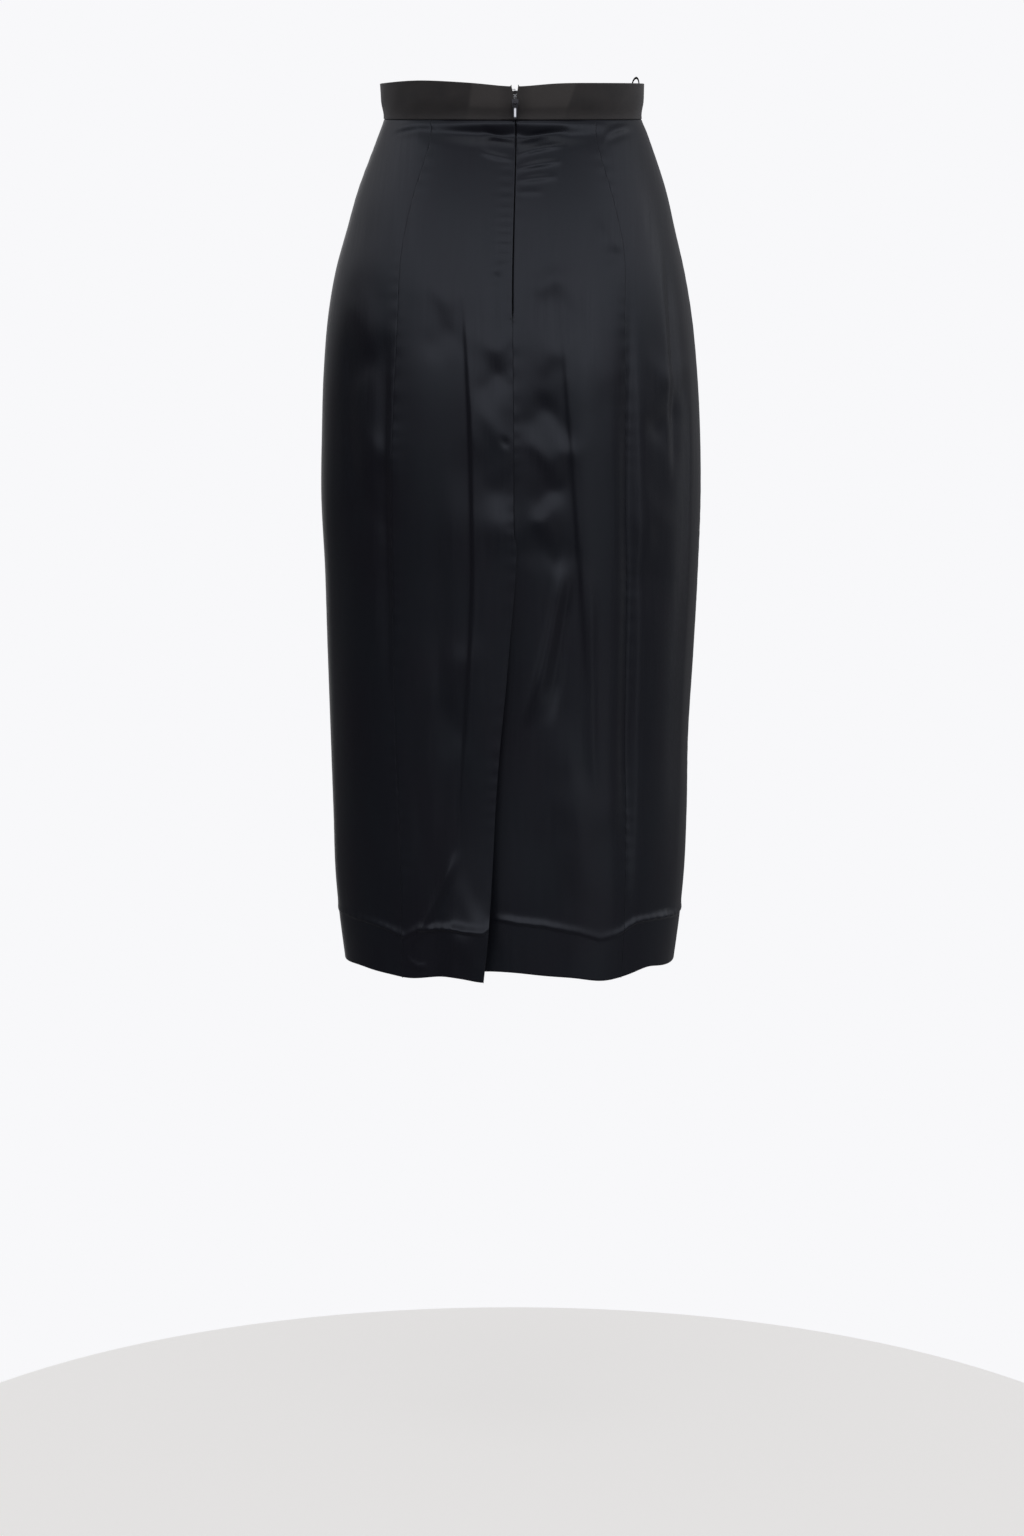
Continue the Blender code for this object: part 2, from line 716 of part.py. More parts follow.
def make_zip_pull():
    """A stirrup: a round rod in the bridge, two arms, and a tapering tab below them."""
    bm = bmesh.new()
    half = PULL_WIDTH / 2
    lines = (-half, -half + PULL_ARM, half - PULL_ARM, half)
    rows = len(PULL_ROWS) - 1
    bmesh.ops.create_grid(bm, x_segments=len(lines) - 1, y_segments=rows, size=0.5)
    for vert in bm.verts:
        line = lines[round((vert.co.x + 0.5) * (len(lines) - 1))]
        row = PULL_ROWS[round((0.5 - vert.co.y) * rows)]
        vert.co = Vector((line * row.width, 0.0, -row.below))
    window_foot = -PULL_ROWS[2].below
    window_middle = Vector((0.0, 0.0, (window_foot - PULL_ROWS[1].below) / 2))
    window = min(bm.faces, key=lambda face: (face.calc_center_median() - window_middle).length)
    bmesh.ops.delete(bm, geom=[window], context="FACES_ONLY")
    front = bmesh.ops.extrude_face_region(bm, geom=bm.faces[:])["geom"]
    raised = {element for element in front if isinstance(element, bmesh.types.BMVert)}
    for vert in bm.verts:
        vert.co.y = PULL_WALL / 2 if vert in raised else -PULL_WALL / 2
    bmesh.ops.recalc_face_normals(bm, faces=bm.faces[:])
    sharp = [edge for edge in bm.edges if edge.calc_face_angle(0.0) > radians(50)]
    rim = [edge for edge in sharp if abs(edge.verts[0].co.y - edge.verts[1].co.y) < PULL_ROUNDING]
    bmesh.ops.bevel(bm, geom=rim, offset=PULL_ROUNDING, segments=2, affect="EDGES", profile=0.5, material=-1)
    below = [vert for vert in bm.verts if vert.co.z < window_foot]
    tilt = Matrix.Rotation(PULL_TILT, 3, "X")
    bmesh.ops.rotate(bm, cent=(0.0, 0.0, window_foot), matrix=tilt, verts=below)
    metres(bm)
    pull = add_mesh("zip_pull", bm, BLACK_NICKEL)
    pull.location = pull_axis()
    return pull


def wire(name, points, radius, resolution, finish):
    """A round wire or narrow tape along a smooth run of points, with closed ends."""
    curve = bpy.data.curves.new(name, "CURVE")
    curve.dimensions = "3D"
    curve.bevel_depth = radius * MM
    curve.bevel_resolution = resolution
    curve.use_fill_caps = True
    spline = curve.splines.new("POLY")
    spline.points.add(len(points) - 1)
    for target, point in zip(spline.points, points):
        target.co = (*(Vector(point) * MM), 1.0)
    return add_object(name, curve, finish)


def fastening_middle():
    """The centre of the eye: in the notch, just inside the band."""
    face = skin(EYE_HEIGHT, CENTRE_BACK, BAND_PROUD) / MM
    inside = face.y - BAND_WALL - SEAM_GAP - WIRE_RADIUS
    return Vector((face.x, inside, EYE_HEIGHT))


def make_eye():
    """A closed ring of wire."""
    middle = fastening_middle()
    bm = bmesh.new()
    circle = bmesh.ops.create_circle(bm, segments=WIRE_SIDES, radius=WIRE_RADIUS)["verts"]
    bmesh.ops.translate(bm, vec=(EYE_RADIUS, 0.0, 0.0), verts=circle)
    bmesh.ops.spin(
        bm,
        geom=bm.edges[:],
        cent=(0, 0, 0),
        axis=(0, 1, 0),
        angle=2 * pi,
        steps=EYE_STEPS,
        use_merge=True,
        use_duplicate=False,
    )
    bmesh.ops.translate(bm, vec=middle, verts=bm.verts[:])
    metres(bm)
    return add_mesh("eye", bm, STEEL)


def make_hook():
    """A wire sewn behind the band's left end, which turns round the top of the eye."""
    middle = fastening_middle()
    turn = 2 * WIRE_RADIUS + SEAM_GAP
    top = middle.z + EYE_RADIUS
    points = [(middle.x + reach, middle.y, top + turn) for reach in HOOK_SHANK]
    for i in range(HOOK_STEPS + 1):
        angle = pi / 2 - HOOK_TURN * i / HOOK_STEPS
        points.append((middle.x, middle.y + turn * cos(angle), top + turn * sin(angle)))
    return wire("hook", points, WIRE_RADIUS, 1, STEEL)


def make_hanging_loop():
    """A narrow folded tape, sewn inside the band at the wearer's right, that peeps over its top."""
    sink = BAND_WALL - BAND_PROUD + SEAM_GAP + LOOP_RADIUS
    rise = BAND_HEIGHT + LOOP_RISE - LOOP_RADIUS
    first, last = LOOP_LEGS
    half = (last - first) / 2
    arch = half * LOOP_FLATNESS
    path = [(first, BAND_HEIGHT - LOOP_DEPTH), (first, BAND_HEIGHT - LOOP_DEPTH / 2)]
    for i in range(LOOP_STEPS + 1):
        angle = pi * i / LOOP_STEPS
        path.append(((first + last) / 2 - half * cos(angle), rise - arch + arch * sin(angle)))
    path += [(last, BAND_HEIGHT - LOOP_DEPTH / 2), (last, BAND_HEIGHT - LOOP_DEPTH)]
    points = []
    for arc, height in path:
        point = skin(min(height, BAND_HEIGHT), arc, -sink) / MM
        points.append((point.x, point.y, height))
    return wire("hanging_loop", points, LOOP_RADIUS, 2, SATIN)


def main():
    clear_scene()
    make_waistband()
    make_back_left()
    make_back_right()
    make_side_back("side_back_left", 1.0)
    make_side_back("side_back_right", -1.0)
    make_front()
    make_zip_tape("zip_tape_left", 1.0)
    make_zip_tape("zip_tape_right", -1.0)
    make_zip_slider()
    make_zip_pull()
    make_hook()
    make_eye()
    make_hanging_loop()


main()
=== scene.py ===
"""A worn midi pencil skirt in blue-black silk satin: the cloth, the sewing and every finish.

Metres, +Z up. The back faces +Y, the front -Y, and the wearer's left is +X.
The tables are in millimetres, in the same frame as the solids.
"""
from collections import namedtuple
from functools import lru_cache
from math import cos, pi, radians, sin

import bmesh
import bpy
import numpy as np
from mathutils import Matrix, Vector


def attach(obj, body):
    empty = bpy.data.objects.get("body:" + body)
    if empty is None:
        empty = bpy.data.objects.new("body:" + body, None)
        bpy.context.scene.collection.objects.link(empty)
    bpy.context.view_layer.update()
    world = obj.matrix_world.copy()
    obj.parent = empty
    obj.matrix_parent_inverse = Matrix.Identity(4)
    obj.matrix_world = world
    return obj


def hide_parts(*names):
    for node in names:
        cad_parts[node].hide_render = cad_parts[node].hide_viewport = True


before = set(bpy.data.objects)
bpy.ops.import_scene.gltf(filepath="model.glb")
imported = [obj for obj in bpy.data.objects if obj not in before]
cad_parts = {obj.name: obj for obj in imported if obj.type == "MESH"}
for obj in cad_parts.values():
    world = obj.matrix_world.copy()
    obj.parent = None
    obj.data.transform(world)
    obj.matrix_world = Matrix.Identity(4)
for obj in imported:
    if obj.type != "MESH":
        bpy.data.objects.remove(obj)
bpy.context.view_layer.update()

MM = 0.001

# Driving sizes, in millimetres, as in the solids
BAND_HEIGHT = 29.0
SKIRT_LENGTH = 699.0
HEM_TURN_UP = 38.0
HEM_LINE = -SKIRT_LENGTH + HEM_TURN_UP
ZIP_LENGTH = 186.0
SEAM_GAP = 0.3
BAND_PROUD = 0.4
BAND_WALL = 1.8
CENTRE_BACK = -2.2
VENT_TOP = -332.0
UNDERLAP_TOP = -345.0
UNDERLAP_REACH = 40.0
FLAP_START = 60.0
FLAP_RISE = 1.7
FLAP_RISE_AT_HEM = 2.5
FLAP_RISE_REACH = 120.0
FLAP_EASE = (UNDERLAP_REACH + 3.0, UNDERLAP_REACH + 22.0)
FLAP_GAPE = 2.6
FLAP_GAPE_WIDTH = 26.0

RIGHT_BACK_WIDTH = 100.0

# Real thicknesses of the cloth, and the zip tapes' sizes and place
SATIN_THICK = 0.5
RIBBON_THICK = 1.3
TAPE_THICK = 0.6
TAPE_WIDTH = 12.0
TAPE_TOP = 18.0
TAPE_ROWS = 70
TAPE_COLUMNS = 9
TAPE_BEHIND_SATIN = 1.7
TAPE_FURTHER_BEHIND_BAND = 0.2
BAND_CROSSING = (-12.0, -1.0)
TAPE_CLEARANCE = 0.15


def table(columns, *rows):
    """A short table whose rows are read by the names of its columns."""
    row_kind = namedtuple("row_kind", columns)
    return tuple(row_kind(*row) for row in rows)


# Rings of the worn shape, as in the solids
SECTIONS = table(
    "height half_width back front square lean",
    (32.0, 107.8, 81.5, 84.5, 2.08, 0.0),
    (15.0, 106.9, 80.5, 83.3, 2.08, -0.3),
    (0.0, 105.4, 79.0, 82.0, 2.08, -0.6),
    (-8.0, 108.4, 82.2, 84.6, 2.10, -0.9),
    (-25.0, 114.8, 89.4, 90.4, 2.12, -0.8),
    (-58.0, 126.5, 100.6, 98.2, 2.15, 0.0),
    (-90.0, 134.9, 109.0, 103.2, 2.18, 0.8),
    (-123.0, 143.4, 115.4, 106.0, 2.20, 1.5),
    (-156.0, 149.4, 119.4, 106.6, 2.22, 1.6),
    (-205.0, 154.4, 122.0, 105.6, 2.25, 1.3),
    (-255.0, 156.9, 121.4, 103.6, 2.27, 0.8),
    (-305.0, 157.8, 119.0, 101.6, 2.28, 0.8),
    (-371.0, 155.2, 114.6, 99.6, 2.30, 0.2),
    (-439.0, 152.5, 110.6, 98.0, 2.30, 1.1),
    (-506.0, 149.7, 107.0, 97.0, 2.30, 2.0),
    (-575.0, 148.3, 104.0, 96.2, 2.30, 1.4),
    (-626.0, 146.7, 102.0, 95.4, 2.30, 1.6),
    (-660.0, 143.7, 100.0, 94.4, 2.30, 1.7),
    (-700.0, 138.8, 97.0, 92.4, 2.30, 1.9),
)
BACK_SEAMS = table(
    "height left right",
    (0.0, 65.5, 66.0),
    (-20.0, 67.5, 68.0),
    (-39.0, 73.0, 73.6),
    (-58.0, 78.6, 79.8),
    (-78.0, 83.2, 85.4),
    (-100.0, 87.0, 90.4),
    (-160.0, 90.6, 92.8),
    (-220.0, 94.2, 93.6),
    (-284.0, 96.6, 94.0),
    (-366.0, 97.3, 94.6),
    (-467.0, 94.6, 95.6),
    (-550.0, 91.7, 96.4),
    (-656.0, 89.6, 94.2),
    (-700.0, 89.2, 92.4),
)
FLAP_EDGE = table(
    "height edge",
    (-332.0, -5.0),
    (-374.0, -2.4),
    (-416.0, 0.8),
    (-457.0, 3.6),
    (-510.0, 8.1),
    (-559.0, 12.0),
    (-612.0, 14.6),
    (-656.0, 17.2),
    (-700.0, 21.4),
)

# Long folds, placed as the solids' own, with sharper edges
FOLD = "top foot at_top half_way at_foot left_width right_width rise"
BACK_FOLDS = table(
    FOLD,
    (-112.0, -600.0, 38.5, 30.0, 43.0, 2.0, 24.0, 3.2),
    (-122.0, -470.0, -39.0, -52.0, -64.0, 2.2, 24.0, 2.3),
    (-100.0, -690.0, -95.0, -96.0, -96.5, 8.0, 6.0, -3.8),
    (-96.0, -420.0, -114.0, -120.0, -116.0, 11.0, 13.0, -1.3),
    (-86.0, -300.0, -124.0, -132.0, -133.0, 3.0, 8.0, -1.8),
    (-120.0, -660.0, -147.0, -145.0, -138.0, 3.0, 5.0, 1.4),
    (-150.0, -480.0, 99.0, 102.0, 98.0, 7.0, 3.0, -1.8),
    (-150.0, -330.0, 128.0, 131.0, 126.0, 5.0, 9.0, -1.6),
    (-335.0, -490.0, -42.0, -31.0, -12.0, 4.0, 7.0, 2.8),
    (-360.0, -490.0, -47.0, -41.0, -32.0, 7.0, 4.0, -2.2),
    (-350.0, -560.0, -62.0, -66.0, -70.0, 5.0, 4.0, 0.9),
    (-470.0, -640.0, -42.0, -50.0, -62.0, 16.0, 12.0, 1.2),
    (-400.0, -640.0, 66.0, 62.0, 58.0, 10.0, 8.0, 1.0),
    (-588.0, -676.0, 43.5, 61.0, 84.0, 1.9, 5.0, 2.0),
)
# The right half sinks towards the flap that lies over it
UNDER_FLAP_FOLDS = table(FOLD, (-320.0, -960.0, 6.0, 22.0, 56.0, 30.0, 19.0, -6.0))
FRONT_FOLDS = table(
    FOLD,
    (-90.0, -420.0, 34.0, 42.0, 58.0, 16.0, 9.0, 2.0),
    (-110.0, -560.0, -40.0, -46.0, -52.0, 9.0, 18.0, 2.2),
    (-200.0, -600.0, 88.0, 92.0, 84.0, 8.0, 14.0, -1.8),
    (-180.0, -520.0, -96.0, -98.0, -90.0, 14.0, 8.0, -1.8),
    (-380.0, -640.0, 6.0, 10.0, 22.0, 14.0, 14.0, 1.8),
)

# Drag wrinkles that cross the skirt under the band
DRAG = "from_x to_x at_from half_way at_to up_width down_width rise"
BACK_DRAGS = table(
    DRAG,
    (-78.0, 77.0, -4.2, -1.2, -4.0, 1.2, 5.2, 2.5),
    (-78.0, 77.0, -13.1, -13.6, -10.0, 5.6, 5.4, -3.5),
    (62.0, 100.0, -4.0, -4.0, -9.6, 2.0, 3.2, 0.6),
    (62.0, 102.0, -9.5, -9.5, -15.6, 3.0, 4.0, -0.7),
    (-98.0, -73.0, -5.8, -7.0, -12.4, 2.5, 3.0, 0.7),
    (-100.0, -73.0, -10.8, -12.5, -18.4, 3.0, 4.0, -0.7),
    (-46.0, 2.0, -9.0, -12.5, -19.5, 3.5, 3.2, -1.9),
    (-2.0, 26.0, -17.5, -14.0, -9.0, 3.5, 3.0, -1.4),
    (-44.0, 0.0, -20.0, -22.5, -28.5, 2.2, 2.2, 1.7),
    (-40.0, 0.0, -33.0, -35.0, -39.5, 2.2, 2.2, 1.5),
    (-37.0, 0.0, -45.0, -46.0, -49.0, 2.4, 2.4, 1.1),
    (-26.0, 0.0, -57.0, -57.0, -58.0, 2.4, 2.4, 0.5),
    (-3.0, 22.0, -19.0, -17.0, -18.0, 2.0, 2.4, 0.8),
    (-3.0, 27.0, -32.0, -29.0, -25.0, 2.2, 2.4, 1.1),
    (67.0, 86.0, -689.0, -688.5, -681.5, 2.0, 1.4, 1.0),
)
FRONT_DRAGS = table(
    DRAG,
    (-70.0, -8.0, -10.0, -7.0, -12.0, 3.0, 4.0, -1.3),
    (10.0, 66.0, -13.0, -7.5, -9.0, 3.0, 4.0, -1.2),
)
FOLD_FADE = 0.3
END_FADE = 2
SIDE_FADE = 14
WAIST_FADE = 1.6

# Soft swells and dents of the satin, each a rounded spot
SPOT = "across height wide tall rise"
BACK_SPOTS = table(
    SPOT,
    (14.0, -176.0, 12.0, 11.0, 1.1),
    (15.0, -206.0, 12.0, 13.0, -1.6),
    (14.0, -243.0, 14.0, 17.0, 1.7),
    (11.0, -296.0, 13.0, 14.0, -1.5),
    (9.0, -326.0, 12.0, 12.0, 1.0),
    (-31.0, -182.0, 15.0, 12.0, 1.3),
    (-31.0, -234.0, 17.0, 15.0, -2.1),
    (-31.0, -264.0, 16.0, 11.0, 1.5),
    (-33.0, -293.0, 15.0, 12.0, -1.5),
    (-29.0, -320.0, 15.0, 11.0, 1.5),
    (-31.0, -346.0, 15.0, 12.0, -1.1),
    (55.0, -136.0, 17.0, 12.0, 0.9),
    (52.0, -170.0, 17.0, 16.0, -1.2),
    (-79.0, -92.0, 7.0, 7.0, 0.8),
    (-79.0, -106.0, 7.0, 7.0, -0.8),
    (4.0, -251.0, 3.2, 4.0, -1.0),
    (-36.0, -150.0, 13.0, 12.0, -1.4),
    (-33.0, -128.0, 15.0, 10.0, 0.9),
    (10.0, -118.0, 6.0, 5.0, 0.6),
    (10.0, -127.0, 6.0, 5.0, -0.6),
    (118.0, -160.0, 14.0, 16.0, 1.0),
    (116.0, -196.0, 16.0, 18.0, -2.0),
    (112.0, -262.0, 16.0, 20.0, 1.4),
    (114.0, -312.0, 20.0, 22.0, -1.4),
    (-128.0, -205.0, 14.0, 16.0, 1.3),
    (-126.0, -246.0, 14.0, 17.0, -1.6),
    (-112.0, -318.0, 14.0, 22.0, 1.2),
    (-116.0, -372.0, 12.0, 18.0, -1.0),
    (-74.0, -196.0, 16.0, 22.0, 0.8),
    (40.0, -440.0, 14.0, 20.0, 1.0),
    (42.0, -486.0, 14.0, 20.0, -1.0),
    (34.0, -664.0, 22.0, 28.0, 4.0),
    (-62.0, -560.0, 22.0, 26.0, 1.0),
)
FRONT_SPOTS = table(
    SPOT,
    (-30.0, -160.0, 30.0, 34.0, 0.9),
    (52.0, -236.0, 26.0, 40.0, -0.9),
    (-70.0, -330.0, 24.0, 44.0, -0.8),
    (20.0, -300.0, 30.0, 30.0, 0.8),
)

# Slow waves of cloth that hangs free: short across the skirt and long down it
SWELLS = table(
    "across down turn rise",
    (9.1, 62.0, 0.3, 0.10),
    (14.3, 47.0, 1.9, 0.16),
    (23.7, 90.0, 4.1, 0.26),
    (5.3, 130.0, 2.7, 0.05),
)
SWELL_SPAN = (-40.0, -200.0)
SWELL_BEND = 1.3

# Dips and rises of the hem, as in the solids
HEM_WAVE = "middle width rise"
HEM_WAVE_TOP = -600.0
BACK_HEM = table(
    HEM_WAVE,
    (52.0, 14.0, 1.2),
    (84.0, 16.0, -2.4),
    (130.0, 14.0, 2.4),
    (-78.0, 20.0, -4.2),
    (-116.0, 12.0, 3.2),
)
FLAP_HEM = table(HEM_WAVE, (21.0, 14.0, -2.4))
UNDERLAP_HEM = table(HEM_WAVE, (8.0, 38.0, 5.5))
FRONT_HEM = table(
    HEM_WAVE,
    (-60.0, 40.0, -1.5),
    (70.0, 34.0, -2.0),
)
BAND_TOP_WAVES = table(
    "from_zip width rise",
    (0.0, 26.0, -2.8),
    (80.0, 36.0, 2.0),
    (300.0, 100.0, -6.0),
    (-300.0, 100.0, -6.0),
)

# The catch stitches' line across the back, and how strongly the cloth swells over it
STITCH_LINE = table(
    "across height",
    (-140.0, -656.0),
    (-103.0, -656.0),
    (-92.0, -661.0),
    (-73.0, -664.0),
    (-52.0, -659.0),
    (-21.0, -655.0),
    (14.0, -652.0),
    (21.0, -657.0),
    (76.0, -658.0),
    (87.0, -665.0),
    (104.0, -659.0),
    (140.0, -656.0),
)
STITCH_SWELLS = table(
    "across width rise",
    (46.0, 30.0, 2.0),
    (-16.0, 36.0, 1.0),
    (-131.0, 9.0, 1.2),
    (-112.0, 26.0, 1.5),
    (112.0, 24.0, 0.8),
)
STITCH_WAVERS = table("size length shift", (0.35, 6.1, 0.0), (0.15, 2.3, 1.0))
STITCH_STEP = 7.5
STITCH_DRIFT = (1.5, 9.0)
HEM_LEDGE = 0.5
STITCH_DIMPLE = 0.07
LEDGE_ABOVE = 4.4
LEDGE_BELOW = 1.2

# How the spots are bent out of round, as cloth that hangs is never even
BEND = "size up across"
BENDS_ACROSS = table(BEND, (3.0, 17.0, 23.0), (1.8, 7.3, -9.1))
BENDS_UP = table(BEND, (3.0, 14.0, 8.3), (1.9, -9.7, 4.1))

# Puckers down a seam: their length and its unevenness, and how uneven their depth is
Pucker = namedtuple("Pucker", "length bend bend_length uneven uneven_length")
SEAM_PUCKER = Pucker(2.3, 2.2, 17.0, 0.45, 29.0)
SEAM_PUCKER_DEPTH = 0.16
SEAM_PUCKER_REACH = 5.0
FIRST_EDGE_SEED = 0.7
LAST_EDGE_SEED = 2.9
RIGHT_SEAM_SEED = 1.9
ZIP_PUCKER = Pucker(1.24, 1.1, 13.0, 0.4, 21.0)
ZIP_PUCKER_DEPTH = 0.4
ZIP_PUCKER_FROM_ZIP = 7.0
ZIP_PUCKER_REACH = 6.5
ZIP_PUCKERS_FOOT = (-124.0, -96.0)
ZIP_PUCKERS_TOP = (-24.0, -36.0)

# How a panel's edge turns in at a seam
SEAM_TURN = table(
    "from_seam inset",
    (0.0, 0.8),
    (0.0, 0.25),
    (0.1, 0.07),
    (0.35, 0.02),
    (1.0, 0.0),
)
# The edges of the zip's opening roll in further, and stand apart
ZIP_TURN = table(
    "from_seam inset",
    (0.25, 1.7),
    (0.25, 1.0),
    (0.5, 0.45),
    (1.0, 0.14),
    (1.9, 0.0),
)
# Where the underlap is cut on, the cloth runs straight across the centre
FLAT_TURN = table("from_seam inset", (0.0, 0.0), (0.3, 0.0), (0.6, 0.0), (0.9, 0.0), (1.2, 0.0))
ZIP_FOOT = -157.0
CLOSED_GAP = 0.05
# How far one way of turning in, or one edge, takes to become the next
ZIP_TURN_FADE = 6.0
FLAP_EDGE_FADE = 4.0
UNDERLAP_FADE = 3.0

# Spacing of the cloth's points, in millimetres
FINE = 1.5
COARSE = 3.6
ROW_STEP = 2.6
RING_SAMPLES = 721
BAND_SPACING = 3.0
UNDERLAP_SPACING = 3.0

# Rows of a panel: turned in under the band, then down the face, closer where it is creased
Row = namedtuple("Row", "height inset run inside")
TOP_TURN = ((0.4, 1.3), (-0.2, 0.5), (-0.7, 0.15))
ROW_SPANS = table(
    "first last step",
    (-1.4, -62.0, 1.3),
    (-63.0, -646.0, ROW_STEP),
    (-647.0, -670.0, 0.9),
    (-671.0, 5.0 - SKIRT_LENGTH, ROW_STEP),
)
# Then round the hem's fold and up inside it, in heights above the fold
FOLD_RADIUS = 0.9
FOLD_STEPS = 6
FOLD_RUN = 2.0
HEM_SPLAY = 0.2
ABOVE_FOLD = (4.0, 2.2, FOLD_RADIUS)
INSIDE_HEM = (3.0, 8.0, 14.0, 20.0, 26.0, 32.0, HEM_TURN_UP - 1.5, HEM_TURN_UP)
SEAM_ENDS = (3.0, 9.0)

# The band: how far its two ends stand apart at the zip, and how they turn in
BAND_SLIT = table(
    "height slit",
    (29.0, 5.2),
    (23.8, 3.6),
    (19.1, 2.6),
    (15.1, 1.4),
    (7.5, 1.4),
    (0.0, 1.0),
)
BAND_TURN = table(
    "from_seam inset",
    (0.0, 0.9),
    (0.0, 0.35),
    (0.2, 0.12),
    (0.5, 0.0),
)
# The band's rows from the top, as shares of its height, with its turned-in top and foot
BAND_ROWS = table(
    "share inset",
    (1.0, 0.7),
    (1.0, 0.25),
    (0.993, 0.06),
    (0.982, 0.0),
    *((share, 0.0) for share in np.linspace(0.95, 0.05, 14).tolist()),
    (0.018, 0.0),
    (0.007, 0.08),
    (0.0, 0.3),
    (0.0, 0.8),
)
# Its folded ends are thicker, and it wavers a little round the waist
BAND_END_RISE = 0.35
BAND_END = (20.0, 27.0)
BAND_WAVERS = table("size length shift", (0.22, 11.0, 2.0), (0.14, 4.6, 5.0))

# The zip's coils, its stops and the stitches
COIL_PITCH = 1.35
COIL_WIDE = 1.5
COIL_DEEP = 1.3
COIL_WIRE = 0.55
ZIP_HEAD = 8.0
COIL_SIDES = 6
COIL_LAP = 0.25
COIL_FROM_TAPE = 0.3
STOP_HEIGHTS = (18.2, 17.8, 16.4, 16.0)
STOP_ASIDE = 0.75
STOP_DEPTH = 0.5
STOP_WIDE = 0.9
STOP_THICK = 1.1
TACK_STITCHES = table(
    "height reach",
    (-151.0, 0.9),
    (-153.5, 1.5),
    (-156.0, 2.2),
    (-158.0, 1.6),
    (-160.0, 1.0),
)
TACK_THREAD = (0.34, 0.3)
TACK_TILTS = (-0.7, 0.9)
TACK_CROWN = 0.16
TACK_SINK = 0.1
# One catch stitch inside the hem: up from the turned-up edge, along it, and in from the face
CATCH_STITCH = table(
    "up along depth",
    (-1.6, 0.0, 2.35),
    (0.1, 0.5, 2.6),
    (1.5, 1.0, 1.7),
    (2.2, 1.6, 0.6),
    (1.0, 3.6, 1.3),
    (-1.4, 5.6, 2.3),
)
CATCH_THREAD = 0.3
CATCH_ENDS = (4.0, 6.0)

# The hanging loop, inside the band at the wearer's right
LOOP_LEGS = (-134.0, -116.0)
LOOP_RISE = 5.0
LOOP_DEPTH = 20.0
LOOP_FLATNESS = 0.75
LOOP_WIDE = 1.9
LOOP_THICK = 1.0
LOOP_RADIUS = 0.8
LOOP_LEG_POINTS = 8
LOOP_ARCH_STEPS = 20

# Finishes: the ribbon's ribs and its painted sheen patches, and the pull's painted highlight
RIB_PITCH = 1.0
# The painted sheen on the ribbon beside the zip: its slanting edge, its start, its foot and its slant
PAINTED_SHEEN_EDGE = (37.5, 40.5)
PAINTED_SHEEN_START = (6.0, 14.0)
PAINTED_SHEEN_FOOT = (8.5, 11.5)
PAINTED_SHEEN_SLANT = (0.27, -0.115)
# Where the pull's painted highlight lies: its middle, its sides, its foot and its top
PULL_HIGHLIGHT_MIDDLE = -2.48
PULL_HIGHLIGHT_SIDE = (0.45, 1.0)
PULL_HIGHLIGHT_FOOT = (1.6, 2.6)
PULL_HIGHLIGHT_TOP = (8.4, 9.4)

# The stage, the lights and the camera, in metres
FLOOR_PLACE = (0.0, 0.255, -1.10)
FLOOR_RADIUS = 0.56
LIGHTS = table(
    "name x y z wide tall power",
    ("key_softbox", 0.4, 3.4, 1.9, 3.0, 1.2, 1.5),
    ("side_softbox", -2.0, 2.6, -0.6, 0.6, 3.0, 2.2),
    ("right_strip", -2.6, -0.6, -0.1, 0.5, 1.8, 2.1),
    ("top_softbox", 0.0, 0.6, 3.0, 2.4, 2.4, 8.0),
    ("front_softbox", 0.7, -3.0, -0.2, 1.4, 2.8, 4.5),
)
LIGHT_AIM = Vector((0.0, 0.0, -0.3))

# The studio as the satin mirrors it: strengths, then where each part starts and ends
WALL = 1.1
CEILING = 0.38
DIM_LEFT = 0.065
DIM_RIGHT = 0.15
BEHIND = 0.25
SIDE_RISE = 0.08
LEFT_RISE = 0.28
RIGHT_RISE = 0.13
WALL_FOOT = (-0.20, 0.06)
WALL_TOP = (0.32, 0.58)
FAR_LEFT = (0.6, 1.0)
FAR_RIGHT = (-0.95, -0.65)
FALL_OFF = (-0.9, 0.2)
FALL_OFF_TURN = 0.12
FLOOR_SPAN = (-0.9, 0.6)

CAMERA_PLACE = (0.0, 3.4, 0.0181)
CAMERA_PITCH = radians(9.3)
FRAME_TALL = 1536.0
FOCAL_PIXELS = 4100.0
SENSOR = 36.0


def ease(low, high, value):
    """Rises smoothly from 0 at `low` to 1 at `high`."""
    t = np.clip((value - low) / (high - low), 0.0, 1.0)
    return t * t * (3.0 - 2.0 * t)


def hump(distance, width):
    """A rounded rise of 1 that dies away over `width`."""
    return np.exp(-((distance / width) ** 2))


def bow(t, first, middle, last):
    """The curve through three evenly spaced values."""
    return first * (1 - t) * (1 - 2 * t) + 4 * middle * t * (1 - t) + last * t * (2 * t - 1)


@lru_cache(maxsize=None)
def column(rows, name, height):
    """A table's named column at a height, on a smooth curve through its rows."""
    rows = sorted(rows)
    at = np.array([row.height for row in rows])
    value = np.array([getattr(row, name) for row in rows])
    slope = np.gradient(value, at)
    i = int(np.clip(np.searchsorted(at, height) - 1, 0, len(at) - 2))
    span = at[i + 1] - at[i]
    t = min(max((height - at[i]) / span, 0.0), 1.0)
    start = (1 + 2 * t) * (1 - t) ** 2 * value[i] + t * (1 - t) ** 2 * span * slope[i]
    end = t * t * (3 - 2 * t) * value[i + 1] + t * t * (t - 1) * span * slope[i + 1]
    return float(start + end)


